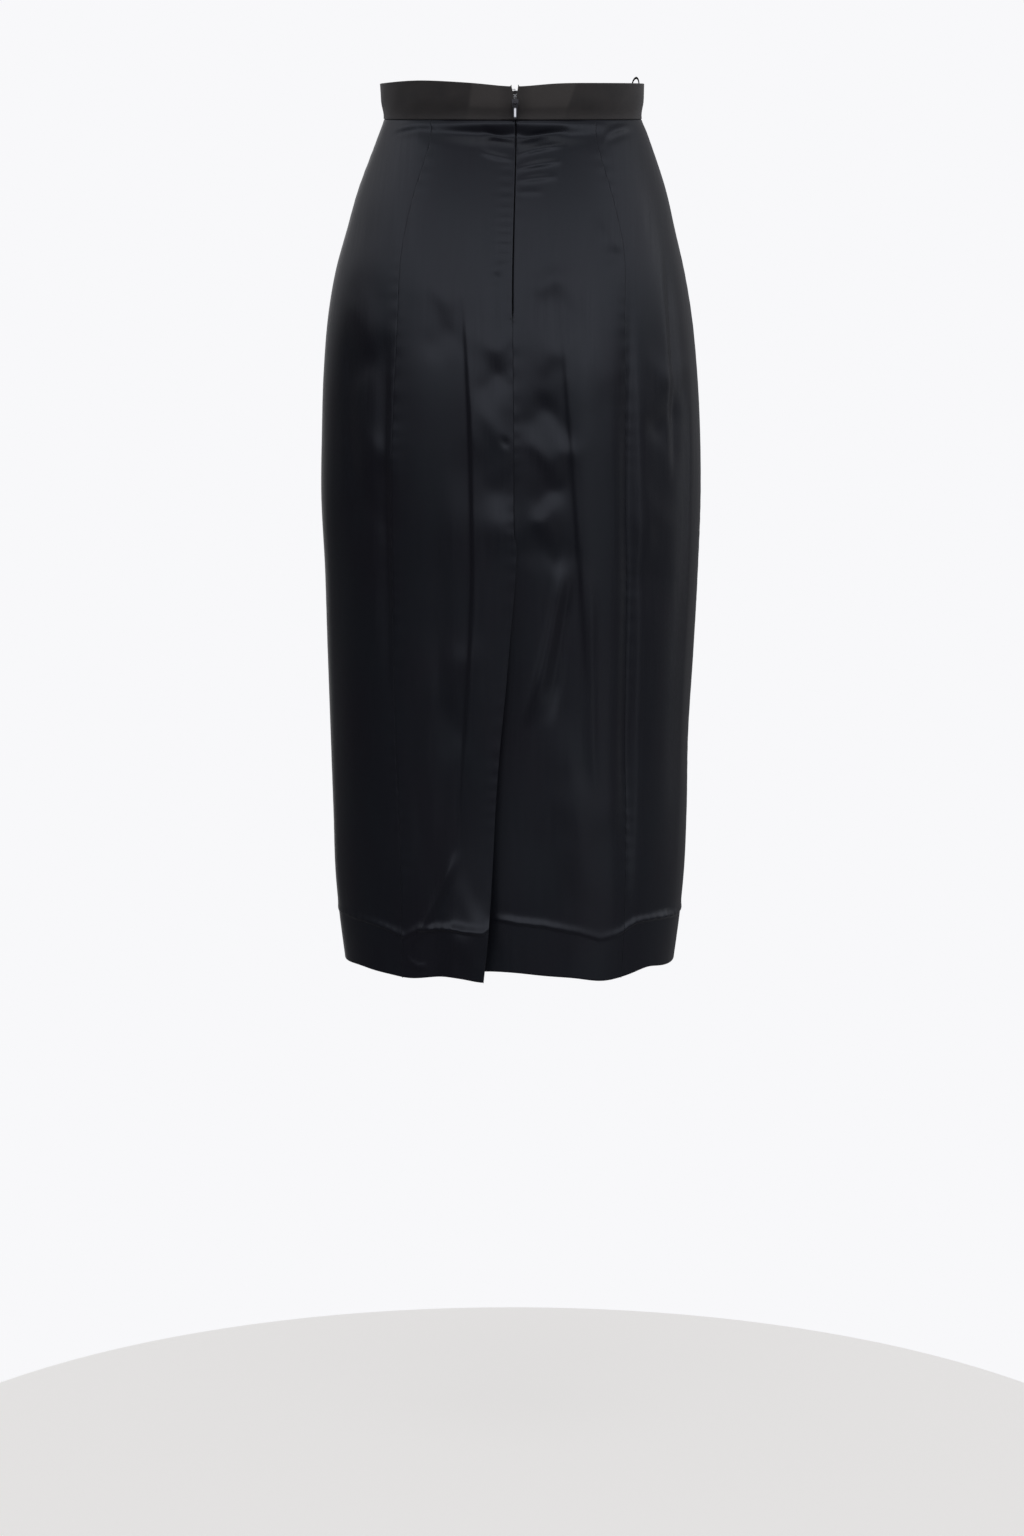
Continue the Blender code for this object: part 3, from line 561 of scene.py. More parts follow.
@lru_cache(maxsize=None)
def ring(height):
    """The left half of the ring at a height: arc length from the centre back, place and outward normal."""
    names = ("half_width", "back", "front", "square")
    half_width, back, front, square = (column(SECTIONS, name, height) for name in names)
    angle = np.linspace(0.0, pi, RING_SAMPLES)
    reach = np.where(angle <= pi / 2, back, front)
    x = half_width * np.abs(np.sin(angle)) ** (2 / square)
    y = reach * np.sign(np.cos(angle)) * np.abs(np.cos(angle)) ** (2 / square)
    arc = np.concatenate(([0.0], np.cumsum(np.hypot(np.diff(x), np.diff(y)))))
    along_x = np.gradient(x, arc)
    along_y = np.gradient(y, arc)
    long = np.hypot(along_x, along_y)
    return arc, x, y, -along_y / long, along_x / long


def arc_at_back(height, across):
    """The arc length from the centre back at which the back lies `across` from the middle."""
    arc, x, _, _, _ = ring(height)
    back = len(arc) // 2 + 1
    return float(np.copysign(np.interp(abs(across), x[:back], arc[:back]), across))


def side_arc(height):
    """The arc length from the centre back to the left side seam."""
    arc = ring(height)[0]
    return float(arc[len(arc) // 2])


def full_arc(height):
    """The whole length round the skirt."""
    return float(2.0 * ring(height)[0][-1])


def bent(places, across, height, bends):
    """Places shifted by slow waves that run askew over the cloth."""
    for bend in bends:
        places = places + bend.size * np.sin(height / bend.up + across / bend.across)
    return places


def folds_and_drags(across, height, folds, drags=(), spots=()):
    """How far the cloth stands out from its ring at one height, for an array of places across."""
    out = np.zeros_like(across)
    for fold in folds:
        t = (fold.top - height) / (fold.top - fold.foot)
        if 0.0 < t < 1.0:
            from_line = across - bow(t, fold.at_top, fold.half_way, fold.at_foot)
            width = np.where(from_line > 0.0, fold.left_width, fold.right_width)
            ends = float(ease(0.0, FOLD_FADE, t) * ease(1.0, 1.0 - FOLD_FADE, t))
            out += fold.rise * ends * hump(from_line, width)
    for drag in drags:
        t = (across - drag.from_x) / (drag.to_x - drag.from_x)
        from_line = height - bow(t, drag.at_from, drag.half_way, drag.at_to)
        width = np.where(from_line > 0.0, drag.up_width, drag.down_width)
        ends = np.clip(1.0 - (2.0 * t - 1.0) ** END_FADE, 0.0, 1.0)
        out += drag.rise * ends * hump(from_line, width)
    spot_across = bent(across, across, height, BENDS_ACROSS)
    spot_height = bent(height, across, height, BENDS_UP)
    for spot in spots:
        beside = hump(spot_across - spot.across, spot.wide)
        out += spot.rise * beside * hump(spot_height - spot.height, spot.tall)
    return out


def swell(arcs, height):
    """The slow unevenness of cloth that hangs from the hip."""
    free = ease(*SWELL_SPAN, height)
    return free * sum(
        wave.rise * np.sin(arcs / wave.across + SWELL_BEND * np.sin(height / wave.down + wave.turn))
        for wave in SWELLS
    )


def hem_relief(across, around, height):
    """The swell over the hem's stitches, the sharp dip under it, then the double cloth."""
    line = np.interp(across, *zip(*STITCH_LINE))
    for wave in STITCH_WAVERS:
        line = line + wave.size * np.sin(around / wave.length + wave.shift)
    from_line = height - line
    swells = sum(row.rise * hump(across - row.across, row.width) for row in STITCH_SWELLS)
    drift, drift_length = STITCH_DRIFT
    stitch = 2.0 * pi * (around + drift * np.sin(around / drift_length)) / STITCH_STEP
    dimple = 1.0 - STITCH_DIMPLE + STITCH_DIMPLE * np.cos(stitch)
    width = np.where(from_line > 0.0, LEDGE_ABOVE, LEDGE_BELOW)
    return (HEM_LEDGE + swells) * dimple * hump(from_line, width)


def pucker_wave(kind, height, seed):
    """A wave of uneven length and depth down a seam, from -1 to 1."""
    depth = 1.0 - kind.uneven + kind.uneven * np.sin(height / kind.uneven_length + seed)
    return depth * np.sin(height / kind.length + kind.bend * np.sin(height / kind.bend_length + seed))


def seam_puckers(distance, height, seed):
    """Tiny uneven puckers beside a seam, which die away within a few millimetres of it."""
    depth = SEAM_PUCKER_DEPTH * pucker_wave(SEAM_PUCKER, height, seed)
    return depth * np.exp(-np.abs(distance) / SEAM_PUCKER_REACH)


def zip_puckers(distance, height, seed):
    """The short dips that the stiffer zip tape draws in beside it, down to its foot."""
    depth = ZIP_PUCKER_DEPTH * ease(*ZIP_PUCKERS_FOOT, height) * ease(*ZIP_PUCKERS_TOP, height)
    beside = hump(distance - ZIP_PUCKER_FROM_ZIP, ZIP_PUCKER_REACH)
    return depth * pucker_wave(ZIP_PUCKER, height, seed) * beside + seam_puckers(distance, height, seed)


def side_fade(across, half_width):
    """The folds die away at the sides, so that the outline stays as worked out."""
    return 1.0 - np.minimum(np.abs(across) / half_width, 1.0) ** SIDE_FADE


def skin(height, arcs, out=0.0, folded=1.0, own_hem=()):
    """Points on the worn outer face at one height, one for each arc length from the centre back."""
    full = full_arc(height)
    around = np.where(arcs > full / 2, arcs - full, arcs)
    ring_arc, *tables = ring(height)
    x, y, nx, ny = (np.interp(np.abs(around), ring_arc, values) for values in tables)
    side = np.where(around < 0.0, -1.0, 1.0)
    across = side * x
    is_back = y > 0.0
    half_width = column(SECTIONS, "half_width", height)
    fade = side_fade(across, half_width)
    if height < 0.0:
        back = folds_and_drags(across, height, BACK_FOLDS, BACK_DRAGS, BACK_SPOTS)
        front = folds_and_drags(across, height, FRONT_FOLDS, FRONT_DRAGS, FRONT_SPOTS)
        relief = np.where(is_back, back, front) * fade + swell(around, height)
        relief = relief + hem_relief(across, around, height)
        out = out + folded * relief * ease(0.0, WAIST_FADE, -height)
    rises = (
        sum(wave.rise * hump(across - wave.middle, wave.width) for wave in waves + own_hem)
        for waves in (BACK_HEM, FRONT_HEM)
    )
    z = height + np.where(is_back, *rises) * fade * ease(HEM_WAVE_TOP, -SKIRT_LENGTH, height)
    lean = column(SECTIONS, "lean", height)
    return np.stack((side * (x + nx * out) + lean, y + ny * out, z), axis=-1) * MM


def finished(name, mesh, materials):
    """A mesh as a named piece that rides on the skirt, smooth, with its finishes."""
    for material in materials:
        mesh.materials.append(material)
    mesh.shade_smooth()
    obj = bpy.data.objects.new(name, mesh)
    bpy.context.scene.collection.objects.link(obj)
    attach(obj, "skirt")
    return obj


def on_flat(along, run):
    """Where a row of points lies on the flat cloth, in metres, for the weave."""
    return np.stack((along * MM, np.full_like(along, run * MM)), axis=-1)


def cloth(name, points, thread, materials, thickness, gone=None):
    """A cloth of real thickness from rows of points.

    `thread` gives each point's place on the flat cloth in metres, for the weave.
    `gone` marks cells to leave out.
    """
    points, thread = np.array(points), np.array(thread)
    rows, columns = points.shape[:2]
    bm = bmesh.new()
    bmesh.ops.create_grid(bm, x_segments=columns - 1, y_segments=rows - 1, size=0.5)
    if gone is not None:
        middles = [face.calc_center_median() for face in bm.faces]
        dropped = [
            face
            for face, middle in zip(bm.faces, middles)
            if gone((middle.x + 0.5) * (columns - 1), (0.5 - middle.y) * (rows - 1))
        ]
        bmesh.ops.delete(bm, geom=dropped, context="FACES")
    mesh = bpy.data.meshes.new(name)
    bm.to_mesh(mesh)
    bm.free()
    flat = np.empty(len(mesh.vertices) * 3)
    mesh.vertices.foreach_get("co", flat)
    flat = flat.reshape(-1, 3)
    across = np.rint((flat[:, 0] + 0.5) * (columns - 1)).astype(int)
    down = np.rint((0.5 - flat[:, 1]) * (rows - 1)).astype(int)
    mesh.vertices.foreach_set("co", points[down, across].ravel())
    corner = np.empty(len(mesh.loops), int)
    mesh.loops.foreach_get("vertex_index", corner)
    layer = mesh.uv_layers.new(name="thread")
    layer.data.foreach_set("uv", thread[down, across][corner].ravel())
    mesh.update()
    outward = sum(face.normal.xy.dot(face.center.xy) for face in mesh.polygons)
    if outward < 0.0:
        mesh.flip_normals()
    obj = finished(name, mesh, materials)
    wall = obj.modifiers.new("cloth", "SOLIDIFY")
    wall.thickness = thickness * MM
    wall.offset = -1.0
    wall.use_even_offset = False
    wall.material_offset = 1 if len(materials) > 1 else 0
    return obj


def panel_rows():
    """The rows of a panel: turned in under the band, down the face, round the hem and up inside it."""
    rows = [Row(height, inset, -height, 0.0) for height, inset in TOP_TURN]
    heights = [np.arange(span.first, span.last, -span.step) for span in ROW_SPANS]
    heights = [*np.concatenate(heights).tolist(), *(up - SKIRT_LENGTH for up in ABOVE_FOLD)]
    rows += [Row(height, 0.0, -height, 0.0) for height in heights]
    start = FOLD_RADIUS - SKIRT_LENGTH
    for i in range(1, FOLD_STEPS + 1):
        turn = pi * i / FOLD_STEPS
        inset = FOLD_RADIUS * (1.0 - cos(turn))
        rows.append(Row(start - FOLD_RADIUS * sin(turn), inset, SKIRT_LENGTH + FOLD_RADIUS * turn, 1.0))
    for up in INSIDE_HEM:
        inset = 2 * FOLD_RADIUS + HEM_SPLAY * up / HEM_TURN_UP
        rows.append(Row(start + up, inset, SKIRT_LENGTH + up + FOLD_RUN, 1.0))
    return rows


def seam_share(row):
    """How much of a seam's turn is left at a row: it flattens out just above the hem's fold."""
    low, high = SEAM_ENDS
    return ease(low - SKIRT_LENGTH, high - SKIRT_LENGTH, row.height) * (1.0 - row.inside)


def turned_columns(first, last, count, start=SEAM_TURN, end=SEAM_TURN):
    """Arc lengths across a panel at one height, and how far each is turned in at the panel's two edges."""
    middle = np.linspace(first + start[-1].from_seam, last - end[-1].from_seam, count)
    before = [first + row.from_seam for row in start[:-1]]
    after = [last - row.from_seam for row in reversed(end[:-1])]
    inset = [row.inset for row in (*start[:-1], *reversed(end[:-1]))]
    inset[len(before) : len(before)] = [0.0] * count
    return np.concatenate((before, middle, after)), np.array(inset)


def flap_lift(arcs, height):
    """The vent's flap lies over the underlap, and gapes towards the hem."""
    over = FLAP_RISE + (FLAP_RISE_AT_HEM - FLAP_RISE) * ease(HEM_LINE + FLAP_RISE_REACH, HEM_LINE, height)
    down = ease(VENT_TOP + FLAP_START, VENT_TOP, height)
    beside = 1.0 - ease(*FLAP_EASE, arcs)
    open_below = ease(VENT_TOP - FLAP_START, -SKIRT_LENGTH, height)
    gape = FLAP_GAPE * open_below * np.exp(-np.maximum(arcs, 0.0) / FLAP_GAPE_WIDTH)
    return (over + gape) * down * beside


def mixed_turn(first, last, share):
    """Part way from one way of turning in to another."""
    return tuple(type(a)(*(u + share * (v - u) for u, v in zip(a, b))) for a, b in zip(first, last))


def centre_turn(height):
    """How the cloth turns in at the centre back: at the zip's opening, and at the closed seam below it."""
    return mixed_turn(SEAM_TURN, ZIP_TURN, float(ease(ZIP_FOOT, ZIP_FOOT + ZIP_TURN_FADE, height)))


def centre_arc(height):
    """Where the zip and the centre seam run."""
    return arc_at_back(height, CENTRE_BACK)


def back_seam_arc(height, side):
    """The shaped back seam's arc length from the centre back."""
    return side * arc_at_back(height, column(BACK_SEAMS, "left" if side > 0 else "right", height))


def flap_edge_arc(height):
    """The left back's inner edge: the centre seam, then the flap's free edge below it."""
    centre = centre_arc(height) + CLOSED_GAP / 2
    edge = arc_at_back(height, column(FLAP_EDGE, "edge", min(height, VENT_TOP)))
    share = float(ease(VENT_TOP + FLAP_EDGE_FADE, UNDERLAP_TOP, height))
    return (1.0 - share) * centre + share * edge


def panel(name, first_arc, last_arc, spacing, finishes, lift=None, own_hem=()):
    """A sewn panel between two edges, with its cut size.

    Only the left back has a `lift`, for its flap, and it borders the zip.
    """
    by_zip = lift is not None
    rows = panel_rows()
    widths = [last_arc(row.height) - first_arc(row.height) for row in rows]
    count = round(max(widths) / spacing)
    points = []
    thread = []
    for row in rows:
        first = first_arc(row.height)
        last = last_arc(row.height)
        arcs, turned = turned_columns(first, last, count, centre_turn(row.height) if by_zip else SEAM_TURN)
        out = -row.inset - turned * seam_share(row)
        out = out + seam_puckers(last - arcs, row.height, LAST_EDGE_SEED)
        out = out + (zip_puckers if by_zip else seam_puckers)(arcs - first, row.height, FIRST_EDGE_SEED)
        if by_zip:
            out = out + lift(arcs, row.height)
        points.append(skin(row.height, arcs, out, own_hem=own_hem))
        thread.append(on_flat(arcs, row.run))
    obj = cloth(name + "_satin", points, thread, finishes, SATIN_THICK)
    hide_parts(name)
    return obj


def make_right_back(finishes):
    """The right back, with the underlap cut on below the top of the vent."""
    rows = panel_rows()
    count = round(RIGHT_BACK_WIDTH / FINE)
    under_count = round(UNDERLAP_REACH / UNDERLAP_SPACING)
    points = []
    thread = []
    for row in rows:
        seam = back_seam_arc(row.height, -1.0) + CLOSED_GAP / 2
        centre = centre_arc(row.height) - CLOSED_GAP / 2
        apart = float(ease(UNDERLAP_TOP + UNDERLAP_FADE, UNDERLAP_TOP, row.height))
        end = mixed_turn(centre_turn(row.height), FLAT_TURN, apart)
        arcs, turned = turned_columns(seam, centre, count, end=end)
        turned = turned * seam_share(row)
        under = np.linspace(centre, UNDERLAP_REACH, under_count + 1)[1:]
        arcs = np.concatenate((arcs, under))
        turned = np.concatenate((turned, np.zeros(under_count)))
        folded = 1.0 - ease(CENTRE_BACK, UNDERLAP_REACH / 2, arcs)
        out = -row.inset - turned + seam_puckers(arcs - seam, row.height, RIGHT_SEAM_SEED)
        out = out + (1.0 - apart) * seam_puckers(centre - arcs, row.height, LAST_EDGE_SEED)
        out = out + folds_and_drags(arcs, row.height, UNDER_FLAP_FOLDS)
        points.append(skin(row.height, arcs, out, folded, UNDERLAP_HEM))
        thread.append(on_flat(arcs, row.run))
    last_column = len(points[0]) - 1 - under_count
    vent_row = next(i for i, row in enumerate(rows) if row.height < UNDERLAP_TOP)
    obj = cloth(
        "back_right_satin",
        points,
        thread,
        finishes,
        SATIN_THICK,
        gone=lambda across, down: across > last_column and down < vent_row,
    )
    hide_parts("back_right")
    return obj


def band_top(from_zip):
    """The height of the band's top edge at a place round the waist."""
    rises = (wave.rise * hump(from_zip - wave.from_zip, wave.width) for wave in BAND_TOP_WAVES)
    return BAND_HEIGHT + sum(rises)


def make_waistband(finishes):
    """One strip of ribbed ribbon round the waist, its two ends folded under beside the zip."""
    count = round(full_arc(BAND_HEIGHT) / BAND_SPACING)
    points = []
    thread = []
    for share, inset in BAND_ROWS:
        height = share * BAND_HEIGHT
        slit = column(BAND_SLIT, "slit", height)
        whole = full_arc(height)
        first = CENTRE_BACK + slit / 2
        last = whole + CENTRE_BACK - slit / 2
        arcs, turned = turned_columns(first, last, count, BAND_TURN, BAND_TURN)
        from_zip = np.where(arcs > whole / 2, arcs - whole, arcs) - CENTRE_BACK
        ends = BAND_END_RISE * (1.0 - ease(*BAND_END, np.abs(from_zip)))
        waver = sum(wave.size * np.sin(from_zip / wave.length + wave.shift * share) for wave in BAND_WAVERS)
        out = BAND_PROUD - inset - turned + ends + waver * sin(pi * share)
        row = skin(height, arcs, out)
        row[:, 2] = share * band_top(from_zip) * MM
        points.append(row)
        thread.append(on_flat(from_zip, height))
    obj = cloth("waistband_ribbon", points, thread, finishes, RIBBON_THICK)
    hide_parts("waistband")
    full_arc(0.5 * BAND_HEIGHT) * MM
    return obj


def inside_face(height):
    """How far in from the skirt's outer face the zip lies: behind the band, then behind the satin."""
    return TAPE_BEHIND_SATIN + TAPE_FURTHER_BEHIND_BAND * float(ease(*BAND_CROSSING, height))


def make_zip_tape(side, finishes):
    """A woven tape behind the opening's edge."""
    points = []
    thread = []
    across = np.linspace(SEAM_GAP / 2, TAPE_WIDTH, TAPE_COLUMNS)
    for height in np.linspace(TAPE_TOP, -ZIP_LENGTH, TAPE_ROWS):
        arcs = np.sort(centre_arc(height) + side * across)
        points.append(skin(float(height), arcs, -inside_face(height) - TAPE_CLEARANCE))
        thread.append(on_flat(arcs, height))
    name = "zip_tape_left" if side > 0 else "zip_tape_right"
    obj = cloth(name + "_woven", points, thread, finishes, TAPE_THICK)
    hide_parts(name)
    return obj


def sweep(bm, path, wide, thick, sides, face=(0.0, 1.0, 0.0)):
    """A closed strand along a path, `wide` across and `thick` towards `face`."""
    path = [Vector(point) for point in path]
    rings = len(path)
    verts = bmesh.ops.create_grid(bm, x_segments=sides, y_segments=rings - 1, size=0.5)["verts"]
    for vert in verts:
        i = round((0.5 - vert.co.y) * (rings - 1))
        turn = 2.0 * pi * (vert.co.x + 0.5)
        tangent = (path[min(i + 1, rings - 1)] - path[max(i - 1, 0)]).normalized()
        across = tangent.cross(Vector(face))
        if across.length < 0.05:
            across = tangent.orthogonal()
        across.normalize()
        towards = across.cross(tangent)
        vert.co = path[i] + across * cos(turn) * wide / 2 + towards * sin(turn) * thick / 2
    bmesh.ops.remove_doubles(bm, verts=verts, dist=1e-7)


def strands(name, paths, wide, thick, sides, material, slot, face=(0.0, 1.0, 0.0)):
    """Closed strands along paths in metres, joined in one piece."""
    bm = bmesh.new()
    for path in paths:
        sweep(bm, path, wide * MM, thick * MM, sides, face)
    bmesh.ops.holes_fill(bm, edges=[edge for edge in bm.edges if edge.is_boundary], sides=0)
    bmesh.ops.recalc_face_normals(bm, faces=bm.faces[:])
    if bm.calc_volume(signed=True) < 0.0:
        bmesh.ops.reverse_faces(bm, faces=bm.faces[:])
    mesh = bpy.data.meshes.new(name)
    bm.to_mesh(mesh)
    bm.free()
    return finished(name, mesh, [material])


def place(height, arc, out=0.0):
    """One point on or off the worn face."""
    return Vector(skin(height, np.array([float(arc)]), out)[0])


def make_zip_coil(material):
    """The two nylon coils of the closed zip, behind the opening."""
    paths = []
    for side in (1.0, -1.0):
        turns = int((ZIP_HEAD - ZIP_FOOT) / COIL_PITCH)
        path = []
        for i in range(turns * COIL_SIDES + 1):
            height = ZIP_HEAD - i * COIL_PITCH / COIL_SIDES
            turn = 2.0 * pi * i / COIL_SIDES + (0.0 if side > 0 else pi)
            arc = centre_arc(height) + side * (COIL_WIDE / 2 - COIL_LAP) + COIL_WIDE / 2 * cos(turn)
            depth = inside_face(height) + TAPE_THICK + COIL_FROM_TAPE + COIL_DEEP / 2 * (1.0 + sin(turn))
            path.append(place(height, arc, -depth))
        paths.append(path)
    return strands("zip_coil", paths, COIL_WIRE, COIL_WIRE, 5, material, "zip_tape", face=(0.0, 0.0, 1.0))


def make_top_stops(material):
    """Two small crimped stops at the head of the zip, over the slider."""
    paths = []
    for side in (1.0, -1.0):
        arc = CENTRE_BACK + side * STOP_ASIDE
        paths.append([place(height, arc, -STOP_DEPTH) for height in STOP_HEIGHTS])
    return strands("zip_top_stops", paths, STOP_WIDE, STOP_THICK, 8, material, "steel_wire")


def make_bar_tack(material):
    """A few over-stitches that close the seam at the zip's foot."""
    paths = []
    for i, stitch in enumerate(TACK_STITCHES):
        tilt = TACK_TILTS[i % 2]
        path = []
        for t in (-1.0, -0.5, 0.0, 0.5, 1.0):
            out = TACK_CROWN * (1.0 - t * t) - TACK_SINK
            path.append(place(stitch.height + tilt * t, CENTRE_BACK + stitch.reach * t, out))
        paths.append(path)
    return strands("bar_tack", paths, *TACK_THREAD, 6, material, "satin")


def make_hem_stitches(material):
    """Catch stitches that hold the turned-up edge inside, all round but the vent."""
    edge = HEM_LINE + FOLD_RADIUS
    first = UNDERLAP_REACH + CATCH_ENDS[0]
    last = full_arc(edge) + CENTRE_BACK - CATCH_ENDS[1]
    paths = []
    for i in range(int((last - first) / STITCH_STEP)):
        arc = first + i * STITCH_STEP
        paths.append([place(edge + point.up, arc + point.along, -point.depth) for point in CATCH_STITCH])
    return strands("hem_catch_stitches", paths, CATCH_THREAD, CATCH_THREAD, 4, material, "satin")


def make_hanging_loop(material):
    """A narrow tape of folded satin that peeps over the band's top."""
    sink = BAND_WALL - BAND_PROUD + SEAM_GAP + LOOP_RADIUS
    first, last = LOOP_LEGS
    half = (last - first) / 2
    arch = half * LOOP_FLATNESS
    top = BAND_HEIGHT + LOOP_RISE - LOOP_WIDE / 2
    leg = np.linspace(BAND_HEIGHT - LOOP_DEPTH, top - arch - 1.0, LOOP_LEG_POINTS)
    path = [(first, height) for height in leg]
    for i in range(LOOP_ARCH_STEPS + 1):
        turn = pi * i / LOOP_ARCH_STEPS
        path.append(((first + last) / 2 - half * cos(turn), top - arch + arch * sin(turn)))
    path += [(last, height) for height in reversed(leg)]
    points = []
    for arc, height in path:
        point = place(min(height, BAND_HEIGHT), arc, -sink)
        point.z = height * MM
        points.append(point)
    outward = (points[0] - Vector((0.0, 0.0, points[0].z))).normalized()
    obj = strands("hanging_loop_tape", [points], LOOP_WIDE, LOOP_THICK, 12, material, "satin", face=outward)
    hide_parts("hanging_loop")
    return obj


def linear(colour):
    """An sRGB hex colour as the linear colour that the shader takes."""
    values = [int(colour[i : i + 2], 16) / 255 for i in (1, 3, 5)]
    return tuple(v / 12.92 if v <= 0.04045 else ((v + 0.055) / 1.055) ** 2.4 for v in values) + (1.0,)


def node(tree, kind, inputs=(), **settings):
    """Adds a node, sets its properties, then sets or links its sockets, by name or in their order."""
    made = tree.nodes.new(kind)
    for name, value in settings.items():
        setattr(made, name, value)
    for socket, value in inputs.items() if isinstance(inputs, dict) else enumerate(inputs):
        if isinstance(value, bpy.types.NodeSocket):
            tree.links.new(value, made.inputs[socket])
        else:
            made.inputs[socket].default_value = value
    return made


def new_material(name, **values):
    """A material with its Principled shader's own sockets set."""
    material = bpy.data.materials.new(name)
    material.use_nodes = True
    shader = material.node_tree.nodes["Principled BSDF"]
    for socket, value in values.items():
        shader.inputs[socket.replace("_", " ")].default_value = value
    return material, material.node_tree, shader


def thread_places(tree, across, along):
    """The cloth's own coordinates, counted in units of `across` and `along` millimetres."""
    uv = node(tree, "ShaderNodeUVMap", uv_map="thread").outputs["UV"]
    scale = (1.0 / (across * MM), 1.0 / (along * MM), 1.0)
    return node(tree, "ShaderNodeMapping", {"Vector": uv, "Scale": scale}).outputs["Vector"]


def dyed(tree, shader, pattern, dark, light, low=0.0, high=1.0):
    """Colours a piece from its dark dye to its light one, as a pattern goes from `low` to `high`."""
    ramp = node(tree, "ShaderNodeValToRGB", (pattern,))
    for stop, position, colour in zip(ramp.color_ramp.elements, (low, high), (dark, light)):
        stop.position = position
        stop.color = linear(colour)
    tree.links.new(ramp.outputs["Color"], shader.inputs["Base Color"])
    return ramp.outputs["Color"]


def in_relief(tree, shader, height, strength, deep):
    """Gives a finish a fine relief, `deep` millimetres high."""
    bump = node(tree, "ShaderNodeBump", {"Height": height, "Strength": strength, "Distance": deep * MM})
    tree.links.new(bump.outputs["Normal"], shader.inputs["Normal"])


def patch(tree, edges):
    """Where a patch lies, from 0 to 1. Each edge is a coordinate, its span in millimetres, and two values."""
    inside = None
    for value, (low, high), at_low, at_high in edges:
        edge = node(tree, "ShaderNodeMapRange", (value, low * MM, high * MM, at_low, at_high)).outputs[0]
        if inside is not None:
            edge = node(tree, "ShaderNodeMath", (inside, edge), operation="MULTIPLY").outputs[0]
        inside = edge
    return inside


def satin_face():
    """Silk satin, woven with long floats: a deep liquid shine with soft streaks along the thread."""
    material, tree, shader = new_material(
        "silk satin",
        Anisotropic=0.25,
        Sheen_Weight=0.04,
        Sheen_Roughness=0.35,
        IOR=1.5,
        Specular_Tint=linear("#dfe6f2"),
    )
    # Uneven dye and nap: broad clouds that drift from ink blue to plum black
    places = thread_places(tree, 46.0, 90.0)
    clouds = node(tree, "ShaderNodeTexNoise", {"Vector": places, "Scale": 1.0, "Detail": 2.0})
    dyed(tree, shader, clouds.outputs["Fac"], "#14131a", "#14161c", 0.35, 0.65)
    # Streaks along the warp: thread bunches 1.6 mm wide, coarser than real so that they show
    places = thread_places(tree, 1.6, 60.0)
    streaks = node(tree, "ShaderNodeTexNoise", {"Vector": places, "Scale": 1.0, "Detail": 3.0})
    shine = node(tree, "ShaderNodeMapRange", (streaks.outputs["Fac"], 0.3, 0.7, 0.3, 0.38))
    tree.links.new(shine.outputs["Result"], shader.inputs["Roughness"])
    # The weave itself: floats 0.45 mm apart, three times the real spacing
    places = thread_places(tree, 0.45, 2.4)
    weave = node(tree, "ShaderNodeTexNoise", {"Vector": places, "Scale": 1.0, "Detail": 1.0})
    height = node(tree, "ShaderNodeMath", (streaks.outputs["Fac"], weave.outputs["Fac"]), operation="ADD")
    in_relief(tree, shader, height.outputs["Value"], 0.35, 0.06)
    tangent = node(tree, "ShaderNodeTangent", direction_type="UV_MAP", uv_map="thread")
    tree.links.new(tangent.outputs["Tangent"], shader.inputs["Tangent"])
    return material


def satin_back():
    """The wrong side of the satin: the same dye, but dull and faintly ribbed by the weft."""
    material, tree, shader = new_material("satin wrong side", Roughness=0.72, IOR=1.45)
    places = thread_places(tree, 3.0, 0.5)
    weft = node(tree, "ShaderNodeTexNoise", {"Vector": places, "Scale": 1.0, "Detail": 2.0})
    dyed(tree, shader, weft.outputs["Fac"], "#141519", "#1f2126")
    in_relief(tree, shader, weft.outputs["Fac"], 0.4, 0.08)
    return material


def ribbed_ribbon():
    """Cotton and rayon ribbon woven over thick wefts: matte charcoal with fine upright ribs, and a painted
    sheen beside the zip.
    """
    material, tree, shader = new_material("ribbed ribbon", Roughness=0.62, IOR=1.45, Sheen_Weight=0.25)
    places = thread_places(tree, RIB_PITCH, RIB_PITCH)
    ribs = node(
        tree,
        "ShaderNodeTexWave",
        {"Vector": places, "Scale": pi / 10.0, "Distortion": 0.5, "Detail": 1.0, "Detail Scale": 1.0},
        wave_type="BANDS",
        bands_direction="X",
    )
    places = thread_places(tree, 22.0, 14.0)
    clouds = node(tree, "ShaderNodeTexNoise", {"Vector": places, "Scale": 1.0, "Detail": 3.0})
    charcoal = dyed(tree, shader, clouds.outputs["Fac"], "#242121", "#2e2a29", 0.3, 0.7)
    in_relief(tree, shader, ribs.outputs["Fac"], 0.5, 0.12)
    # Painted sheen: lighter beside the zip, where the flattened ribbon over the fastening catches the light,
    # with a slanting edge
    uv = node(tree, "ShaderNodeUVMap", uv_map="thread").outputs["UV"]
    parts = node(tree, "ShaderNodeSeparateXYZ", {"Vector": uv})
    along, up = parts.outputs["X"], parts.outputs["Y"]
    from_zip = node(tree, "ShaderNodeMath", (along,), operation="ABSOLUTE").outputs[0]
    side = node(tree, "ShaderNodeMath", (along,), operation="SIGN").outputs[0]
    slant = node(tree, "ShaderNodeMath", (side, *PAINTED_SHEEN_SLANT), operation="MULTIPLY_ADD").outputs[0]
    slanted = node(tree, "ShaderNodeMath", (up, slant, from_zip), operation="MULTIPLY_ADD").outputs[0]
    ends = ((slanted, PAINTED_SHEEN_EDGE, 1.0, 0.0), (from_zip, PAINTED_SHEEN_START, 0.35, 1.0))
    painted_sheen = patch(tree, (*ends, (up, PAINTED_SHEEN_FOOT, 0.3, 1.0)))
    # 3f3b39 is the painted sheen's colour, mixed over the charcoal dye
    colours = {0: painted_sheen, 6: charcoal, 7: linear("#3f3b39")}
    with_painted_sheen = node(tree, "ShaderNodeMix", colours, data_type="RGBA")
    tree.links.new(with_painted_sheen.outputs[2], shader.inputs["Base Color"])
    return material


